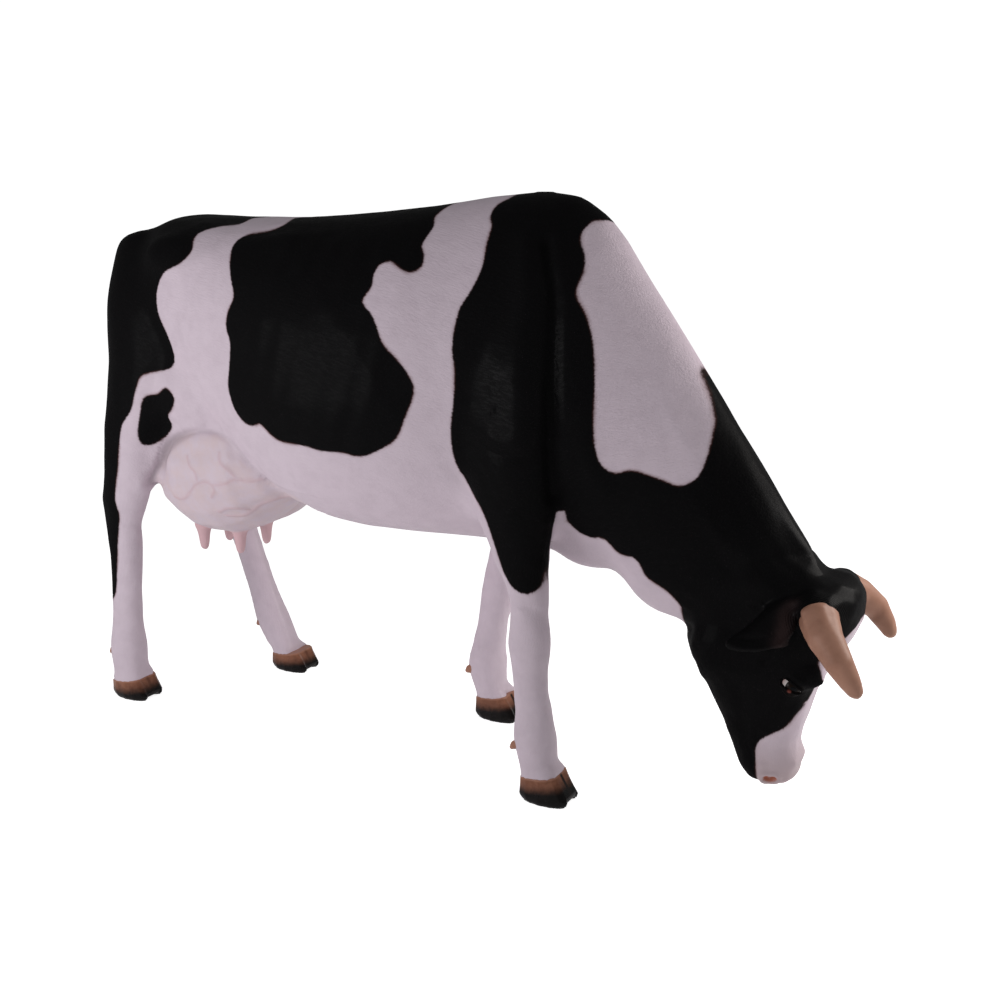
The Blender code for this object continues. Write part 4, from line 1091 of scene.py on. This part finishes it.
def coat_paint():
    material, tree, shader = new_paint("coat_paint")
    place = place_on_object(tree)

    # moulded hair, with its slant in degrees: along the trunk, down the neck, down legs and face
    trunk_hair = combed(tree, place, turn=-14, length=42, fineness=210)
    neck_hair = combed(tree, place, turn=22, length=46, fineness=230)
    leg_hair = combed(tree, place, turn=84, length=55, fineness=240)
    hair = mixed_value(tree, kept(tree, "neck_hair"), trunk_hair, neck_hair)
    hair = mixed_value(tree, kept(tree, "leg_hair"), hair, leg_hair)

    broad = clouds(tree, place, scale=9.0, detail=3.0, roughness=0.55)
    patchy = clouds(tree, place, scale=26.0, detail=4.0, roughness=0.6)
    speck = clouds(tree, place, scale=420.0, detail=2.0, roughness=0.6)

    # the black patches, with an edge broken by the hair
    depth = kept(tree, "black_depth")
    ragged = varied(tree, varied(tree, depth, hair, 0.0045), patchy, 0.003)
    black_share = stepped(tree, ragged, -0.0026, 0.0022)
    near_white = stepped(tree, ragged, -0.0075, -0.0008)
    near_black = stepped(tree, ragged, 0.0050, -0.0005)
    edge_share = maths(tree, "MULTIPLY", near_white, near_black)
    edge_share = maths(tree, "MULTIPLY", edge_share, stepped(tree, broad, 0.40, 0.62, low=0.25, high=0.85))

    # the white is mottled at random, and painted darker where the moulded hair is low: painted shade in its
    # grooves
    white = blended(tree, stepped(tree, patchy, 0.35, 0.75), WHITE_COAT, WHITE_MOTTLE_AND_GROOVE_SHADE)
    white = blended(tree, stepped(tree, hair, 0.30, 0.62, low=0.22, high=0.0), white, WHITE_MOTTLE_AND_GROOVE_SHADE)
    # the muzzle's lower part: pink tint with painted shade
    white = blended(tree, kept(tree, "muzzle_pink_and_shade"), white, MUZZLE_PINK_AND_SHADE)
    black = blended(tree, stepped(tree, speck, 0.52, 0.80), BLACK_COAT, BLACK_WORN)
    # the ear's lit front: a painted highlight in dull brown
    black = blended(tree, kept(tree, "ear_painted_light"), black, EAR_PAINTED_LIGHT)
    coat = blended(tree, black_share, white, black)
    coat = blended(tree, maths(tree, "MULTIPLY", edge_share, 0.42), coat, AIRBRUSHED_EDGE)

    # hand-tinted udder and veins, then the small tints and the painted shade in the udder's crease
    udder_share = kept(tree, "udder_pink")
    udder = blended(tree, stepped(tree, patchy, 0.30, 0.72), UDDER_PINK, WHITE_COAT)
    udder = blended(tree, maths(tree, "MULTIPLY", kept(tree, "vein_pink"), 0.50), udder, VEIN_PINK)
    coat = blended(tree, maths(tree, "MULTIPLY", udder_share, 0.92), coat, udder)
    for name, colour, strength in TINTS:
        share = maths(tree, "MULTIPLY", kept(tree, name), strength)
        coat = blended(tree, share, coat, colour)
    tree.links.new(coat, shader.inputs["Base Color"])

    # satin lacquer: glossier over the black, with a dull bloom here and there
    gloss = mixed_value(tree, black_share, 0.45, 0.62)
    gloss = varied(tree, gloss, patchy, 0.22)
    gloss = mixed_value(tree, udder_share, gloss, 0.40)
    tree.links.new(gloss, shader.inputs["Roughness"])
    shader.inputs["Specular IOR Level"].default_value = 0.02
    brushed = stepped(tree, hair, 0.44, 0.62, low=0.15)
    polished = kept(tree, "polished")
    on_black = maths(tree, "MULTIPLY_ADD", polished, 0.026, 0.012)
    on_black = maths(tree, "MULTIPLY_ADD", brushed, on_black, 0.012)
    on_black = mixed_value(tree, kept(tree, "leg_hair"), on_black, 0.012)
    on_black = maths(tree, "MULTIPLY_ADD", kept(tree, "rubbed"), 0.045, on_black)
    on_white = maths(tree, "MULTIPLY_ADD", polished, 0.80, 0.12)
    on_white = maths(tree, "MULTIPLY_ADD", brushed, on_white, 0.10)
    lacquer = mixed_value(tree, black_share, on_white, on_black)
    tree.links.new(lacquer, shader.inputs["Coat Weight"])
    shader.inputs["Coat Roughness"].default_value = 0.22

    # relief too fine for the mesh: hair, its clumps, the combed rings round each horn
    hair_share = maths(tree, "MULTIPLY_ADD", kept(tree, "bare_skin"), -0.85, 1.0)
    fore_share = maths(tree, "MULTIPLY_ADD", kept(tree, "neck_hair"), 0.7, 0.8)
    height = maths(tree, "MULTIPLY", hair, maths(tree, "MULTIPLY", hair_share, fore_share))
    clumps = maths(tree, "MULTIPLY", patchy, 0.8)
    height = maths(tree, "ADD", height, clumps)
    height = maths(tree, "MULTIPLY_ADD", speck, 0.22, height)
    rings = ringed(tree, kept(tree, "horn_gap"), COLLAR_RING_STEP, fade_from=0.012, fade_to=0.042, most=0.9)
    height = maths(tree, "ADD", height, rings)
    raised(tree, shader, height, strength=0.55, distance=0.0028)
    return material


shell.data.materials.clear()
shell.data.materials.append(coat_paint())
shell.data.shade_smooth()
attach(shell, "root")
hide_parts(*FLESH)


# The eyes
# Each eye is a polished ball of cast resin, painted with a dark brown iris and a level oval
# pupil, and pushed into its socket from inside the head before the head is joined on.

GAZE = {"out": 0.90, "along": 0.15, "up": -0.04}  # it looks ahead and down, past the nose
CORNEA_RISE = 0.0008
CORNEA_SPREAD = 0.62
IRIS_EDGE = 0.90  # angle from the middle of the gaze to the iris's rim
PUPIL_HALVES = (0.36, 0.20)  # angles along the slit and across it
IRIS_LIGHT = (0.014, 0.007, 0.005)
IRIS_DARK = (0.004, 0.003, 0.002)
IRIS_RIM = (0.004, 0.003, 0.003)
PUPIL_BLACK = (0.002, 0.002, 0.003)
EYE_WHITE = (0.62, 0.56, 0.55)
EYE_CORNER_RED = (0.42, 0.20, 0.18)


def eyeball(side, sign):
    out, along, up = eye_axes(sign)
    gaze = unit(out * GAZE["out"] + along * GAZE["along"] + up * GAZE["up"])
    mesh = bmesh.new()
    bmesh.ops.create_uvsphere(mesh, u_segments=64, v_segments=40, radius=EYE_RADIUS - 0.0002)
    turn = Vector((0, 0, 1)).rotation_difference(Vector(gaze)).to_matrix()
    bmesh.ops.rotate(mesh, verts=mesh.verts, cent=(0, 0, 0), matrix=turn)
    bmesh.ops.translate(mesh, verts=mesh.verts, vec=Vector(EYES[side]))
    ball = linked(f"eyeball_{side}", mesh)
    spots = points_of(ball.data) - EYES[side]
    ways = spots / np.linalg.norm(spots, axis=1)[:, None]
    angle = np.arccos(np.clip(ways @ gaze, -1, 1))
    level = unit(along - gaze * (along @ gaze))
    across = np.cross(gaze, level)
    bulge = CORNEA_RISE * np.exp(-((angle / CORNEA_SPREAD) ** 4))
    placed(ball.data, points_of(ball.data) + ways * bulge[:, None])
    noted(ball.data, "iris_angle", angle)
    pupil = np.hypot(ways @ level / PUPIL_HALVES[0], ways @ across / PUPIL_HALVES[1])
    noted(ball.data, "pupil_reach", np.where(angle < 1.5, pupil, FAR_AWAY))
    return ball


def eye_glaze():
    material, tree, shader = new_paint("painted_eye")
    place = place_on_object(tree)
    angle = kept(tree, "iris_angle")
    iris = blended(tree, clouds(tree, place, scale=900.0), IRIS_LIGHT, IRIS_DARK)
    iris = blended(tree, stepped(tree, kept(tree, "pupil_reach"), 1.05, 0.95), iris, PUPIL_BLACK)
    iris = blended(tree, stepped(tree, angle, IRIS_EDGE - 0.14, IRIS_EDGE), iris, IRIS_RIM)
    ball = blended(tree, stepped(tree, angle, 1.0, 1.9), EYE_WHITE, EYE_CORNER_RED)
    colour = blended(tree, stepped(tree, angle, IRIS_EDGE, IRIS_EDGE + 0.04), iris, ball)
    tree.links.new(colour, shader.inputs["Base Color"])
    shader.inputs["Roughness"].default_value = 0.22
    shader.inputs["Specular IOR Level"].default_value = 0.08
    return material


EYE_GLAZE = eye_glaze()
for side, sign in SIDES.items():
    ball = eyeball(side, sign)
    ball.data.materials.append(EYE_GLAZE)
    ball.data.shade_smooth()
    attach(ball, "root")
    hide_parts(f"eye_{side}")


# The horns
# Each horn is a separate solid casting, smooth and blunt, painted tan. Its root is pushed into
# a socket in the poll and glued, so that the skin's collar closes round it.

HORN_GRAIN = 0.0036
HORN_ROOT = 0.016  # how far the horn runs on inside the poll
HORN_ROUNDS = 330  # rounds of easing, which turn the facets into a smooth curve
POLL = np.array((0.955, 0.0, 0.550))
ROOT_SWELL = 0.0065  # the root is this much fuller towards the neck
TO_NECK = (-0.87, 0.49, 0.0)  # for the left horn
ROOT_RADIUS = 0.030
ROOT_AHEAD = 0.012  # the root's middle is this far ahead of the horn's rearmost point
ROOT_HEIGHT = 0.545
HORN_RING_STEP = 0.011
HORN_TAN = (0.410, 0.215, 0.150)
HORN_DARK = (0.340, 0.170, 0.115)
HORN_ROOT_BROWN = (0.250, 0.125, 0.090)
HORN_TIP_BROWN = (0.300, 0.165, 0.120)


def rooted(node, depth, toward, reach):
    """A copy of a solid whose seat, the part that lies against the shell, is sunk into it."""
    mesh = copied(node)
    tree = SKIN_TREES["rest"]
    seat = [point for point in mesh.verts if tree.find_nearest(point.co)[3] < reach]
    bmesh.ops.translate(mesh, verts=seat, vec=Vector(toward) * depth)
    return mesh


def moulded(name, meshes, grain, rounds):
    """Small solids as one object of even mesh with their facets rounded off."""
    item = joined(name, meshes)
    even_mesh(item, grain)
    eased(item.data, rounds)
    return item


def horn_paint():
    material, tree, shader = new_paint("horn_paint")
    place = place_on_object(tree)
    reach = kept(tree, "from_root")
    cloud = clouds(tree, place, scale=22.0, detail=4.0, roughness=0.6)
    colour = blended(tree, stepped(tree, cloud, 0.32, 0.70), HORN_TAN, HORN_DARK)
    colour = blended(tree, stepped(tree, reach, 0.030, 0.000, high=0.55), colour, HORN_ROOT_BROWN)
    colour = blended(tree, stepped(tree, reach, 0.13, 0.19, high=0.30), colour, HORN_TIP_BROWN)
    tree.links.new(colour, shader.inputs["Base Color"])
    gloss = maths(tree, "MULTIPLY_ADD", cloud, 0.18, 0.36)
    tree.links.new(gloss, shader.inputs["Roughness"])
    shader.inputs["Specular IOR Level"].default_value = 0.22
    rings = ringed(tree, reach, HORN_RING_STEP, fade_from=0.010, fade_to=0.075, most=0.5)
    height = maths(tree, "ADD", rings, maths(tree, "MULTIPLY", clouds(tree, place, scale=300.0), 0.35))
    raised(tree, shader, height, strength=0.35, distance=0.0012)
    return material


HORN_PAINT = horn_paint()
for side, sign in SIDES.items():
    node = f"horn_{side}"
    root = middle_of(node) * np.array((0, 1, 0)) + POLL * np.array((1, 0, 1))
    mesh = rooted(node, HORN_ROOT, unit(POLL - root), reach=0.0030)
    horn = moulded(node + "_casting", [mesh], HORN_GRAIN, HORN_ROUNDS)
    spots = points_of(horn.data)
    low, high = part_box(node)
    seat = np.array((low.x + ROOT_AHEAD, sign * min(abs(low.y), abs(high.y)), ROOT_HEIGHT))
    from_root = np.linalg.norm(spots - seat, axis=1) - ROOT_RADIUS
    to_neck = unit(np.array(TO_NECK) * np.array((1, sign, 1)))
    rear = faded((spots - seat) @ to_neck, -0.020, 0.030) * (1 - faded(from_root, 0.020, 0.090))
    placed(horn.data, spots + ROOT_SWELL * rear[:, None] * to_neck)
    noted(horn.data, "from_root", from_root)
    horn.data.materials.clear()
    horn.data.materials.append(HORN_PAINT)
    horn.data.shade_smooth()
    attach(horn, "root")
    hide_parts(node)


# The hooves and dewclaws
# Each foot ends in two cast claws, flat below and parted by a cleft, and has two small
# dewclaws behind the fetlock. They are painted brown and airbrushed black towards the toe.

HOOF_GRAIN = 0.0026
DEWCLAW_GRAIN = 0.0017
CLEFT_OVERLAP = 0.0026  # the claws press together under the hair line
CLEFT_WALL = 0.004  # corners this near the foot's middle line face the cleft
RIM_TUCK = 0.0030  # how far the horn runs up under the hair
SOLE_HEIGHT = 0.0024
WEB_AHEAD = (0.975, 0.95)  # share of the claws' reach, at the hair line and at the sole
WEB_ACROSS = (0.95, 0.88)
WEB_HEIGHT = 0.05
WEB_LIFT = 0.004
HOOF_ROUNDS = 14  # rounds of easing
DEWCLAW_ROUNDS = 12
DEWCLAW_ROOT = 0.009  # how far a dewclaw runs on inside the leg
LEG_WARD = (0.80, 0.0, 0.58)  # the way from a dewclaw into the leg
HOOF_BROWN = (0.265, 0.115, 0.070)
HOOF_DARK = (0.200, 0.082, 0.050)
TOE_BLACK = (0.005, 0.004, 0.004)
RIM_TAN = (0.420, 0.215, 0.150)
CLEFT_BLACK = (0.012, 0.007, 0.006)
CLEFT_SHADE = {"front": 1.0, "hind": 0.35}  # how dark the cleft is painted
SUNK = {"front": 0.004, "hind": 0.008}  # how deep the dewclaws sit in the hair


def hoof_paint():
    material, tree, shader = new_paint("hoof_paint")
    place = place_on_object(tree)
    down = kept(tree, "below_coronet")
    cloud = clouds(tree, place, scale=34.0, detail=4.0, roughness=0.6)
    streaks = combed(tree, place, turn=78, length=40, fineness=260)
    edge = varied(tree, varied(tree, down, cloud, 0.012), streaks, 0.005)
    brown = blended(tree, stepped(tree, cloud, 0.35, 0.65), HOOF_BROWN, HOOF_DARK)
    colour = blended(tree, stepped(tree, edge, 0.004, 0.038), brown, TOE_BLACK)
    colour = blended(tree, stepped(tree, down, 0.003, -0.003, high=0.75), colour, RIM_TAN)
    colour = blended(tree, kept(tree, "cleft"), colour, CLEFT_BLACK)
    tree.links.new(colour, shader.inputs["Base Color"])
    gloss = maths(tree, "MULTIPLY_ADD", cloud, 0.14, 0.15)
    tree.links.new(gloss, shader.inputs["Roughness"])
    shader.inputs["Specular IOR Level"].default_value = 0.14
    height = maths(tree, "MULTIPLY_ADD", cloud, 0.9, maths(tree, "MULTIPLY", streaks, 0.5))
    raised(tree, shader, height, strength=0.22, distance=0.0014)
    return material


def finished_piece(item, nodes, down, cleft):
    noted(item.data, "below_coronet", down)
    noted(item.data, "cleft", cleft)
    item.data.materials.clear()
    item.data.materials.append(HOOF_PAINT)
    item.data.shade_smooth()
    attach(item, "root")
    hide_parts(*nodes)


def web_between(claws, leg):
    """What joins the two claws inside the cleft: the hull of both, drawn in a little."""
    mesh = bmesh.new()
    for claw in claws:
        for point in claw.verts:
            mesh.verts.new(point.co)
    hull = bmesh.ops.convex_hull(mesh, input=mesh.verts)
    inside = {*hull["geom_interior"], *hull["geom_unused"]}
    bmesh.ops.delete(mesh, geom=list(inside), context="VERTS")
    middle = Vector(coronet_middle(leg))
    for point in mesh.verts:
        away = point.co - middle
        low = min(max(away.dot(CORONET_DOWN) / WEB_HEIGHT, 0.0), 1.0)
        point.co.x = middle.x + away.x * between(WEB_AHEAD, low)
        point.co.y = middle.y + away.y * between(WEB_ACROSS, low)
        point.co.z += WEB_LIFT * low
    return mesh


HOOF_PAINT = hoof_paint()
for leg in LEGS:
    foot = leg.replace("leg_", "")
    middle = coronet_middle(leg)
    claws = []
    for claw in claws_of(leg):
        mesh = copied(claw)
        for point in mesh.verts:
            across = point.co.y - middle[1]
            if abs(across) < CLEFT_WALL:
                point.co.y -= math.copysign(CLEFT_OVERLAP, across)
            if abs((point.co - Vector(middle)).dot(CORONET_DOWN)) < 0.001:
                point.co -= CORONET_DOWN * RIM_TUCK
        claws.append(mesh)
    hoof = moulded(f"hoof_{foot}", [*claws, web_between(claws, leg)], HOOF_GRAIN, HOOF_ROUNDS)
    spots = points_of(hoof.data)
    spots[:, 2] = np.where(spots[:, 2] < SOLE_HEIGHT, 0.0, spots[:, 2])
    placed(hoof.data, spots)
    ahead, across, down = coronet_place(spots, leg)
    end = leg.split("_")[1]
    in_cleft = (1 - faded(np.abs(across), 0.0022, 0.0072)) * faded(down, -0.004, 0.001) * (ahead > 0)
    in_cleft *= CLEFT_SHADE[end]
    finished_piece(hoof, claws_of(leg), down, in_cleft)

    nodes = [f"dewclaw_{foot}_{place}" for place in ("inner", "outer")]
    meshes = [rooted(node, DEWCLAW_ROOT, LEG_WARD, reach=0.0022) for node in nodes]
    for mesh in meshes:
        bmesh.ops.translate(mesh, verts=mesh.verts, vec=Vector(LEG_WARD) * SUNK[end])
    pair = moulded(f"dewclaws_{foot}", meshes, DEWCLAW_GRAIN, DEWCLAW_ROUNDS)
    spots = points_of(pair.data)
    # dewclaws stay brown to the tip and have no cleft
    from_leg = spots[:, 0].max() - spots[:, 0]
    finished_piece(pair, nodes, from_leg * 0.05 - 0.004, np.zeros(len(spots)))


# The studio: a pale floor, soft lamps and the camera
# The statue stands on a seamless white sweep. A soft box stands close and low beside its hips,
# one high and one low ahead of its left shoulder light the head and horns, and white walls
# fill in the rest.

FLOOR_SIZE = 60.0
FLOOR_WHITE = (0.82, 0.81, 0.82, 1)
SEEN_FLOOR = 0.86  # the sweep is lit on its own, so that it stays white to the camera
FLOOR_GLOW = 0.24  # what that light sends back up to the statue
SEEN_WALLS = 1.05
WALLS_GLOW = 0.26
# Each soft box: name, place, the point it faces, width and height, watts, colour
SOFT_BOXES = (
    ("near_soft_box", (-1.35, -2.35, 1.05), (-0.35, 0.0, 0.75), (1.4, 1.2), 26, (1.0, 0.99, 1.0)),
    ("front_soft_box", (4.4, 1.3, 2.8), (0.70, 0.0, 0.60), (1.4, 1.2), 30, (1.0, 0.98, 0.96)),
    ("horn_soft_box", (1.85, 0.95, 1.35), (0.98, 0.15, 0.60), (0.9, 0.9), 20, (1.0, 0.96, 0.92)),
)
CAMERA_PLACE = (1.5962, -2.6185, 1.4197)
CAMERA_TURN = (75.90, 0.0, 29.24)  # degrees about x, y and z


def studio_floor():
    mesh = bmesh.new()
    bmesh.ops.create_grid(mesh, x_segments=1, y_segments=1, size=FLOOR_SIZE / 2)
    floor = linked("studio_floor", mesh)
    material, tree, shader = new_paint("white_sweep")
    shader.inputs["Base Color"].default_value = FLOOR_WHITE
    shader.inputs["Roughness"].default_value = 1.0
    shader.inputs["Specular IOR Level"].default_value = 0.0
    seen = paint_node(tree, "ShaderNodeLightPath").outputs["Is Camera Ray"]
    shader.inputs["Emission Color"].default_value = (1, 1, 1, 1)
    glow = stepped(tree, seen, 0.0, 1.0, low=FLOOR_GLOW, high=SEEN_FLOOR)
    tree.links.new(glow, shader.inputs["Emission Strength"])
    floor.data.materials.append(material)


def soft_box(name, place, aim, size, power, colour):
    lamp = bpy.data.lights.new(name, "AREA")
    lamp.shape = "RECTANGLE"
    lamp.size, lamp.size_y = size
    lamp.energy = power
    lamp.color = colour
    item = bpy.data.objects.new(name, lamp)
    item.location = place
    item.rotation_euler = (Vector(aim) - Vector(place)).to_track_quat("-Z", "Y").to_euler()
    bpy.context.scene.collection.objects.link(item)


studio_floor()
for name, place, aim, size, power, colour in SOFT_BOXES:
    soft_box(name, place, aim, size, power, colour)

world = bpy.data.worlds.new("white_walls")
world.use_nodes = True
walls = world.node_tree
seen = paint_node(walls, "ShaderNodeLightPath").outputs["Is Camera Ray"]
walls.nodes["Background"].inputs["Color"].default_value = (1.0, 1.0, 1.0, 1)
glow = stepped(walls, seen, 0.0, 1.0, low=WALLS_GLOW, high=SEEN_WALLS)
walls.links.new(glow, walls.nodes["Background"].inputs["Strength"])
bpy.context.scene.world = world
bpy.context.scene.view_settings.view_transform = "Standard"

lens = bpy.data.cameras.new("studio_camera")
lens.lens = 45.0
lens.sensor_width = 36.0
camera = bpy.data.objects.new("studio_camera", lens)
camera.location = CAMERA_PLACE
camera.rotation_euler = [math.radians(angle) for angle in CAMERA_TURN]
bpy.context.scene.collection.objects.link(camera)
bpy.context.scene.camera = camera
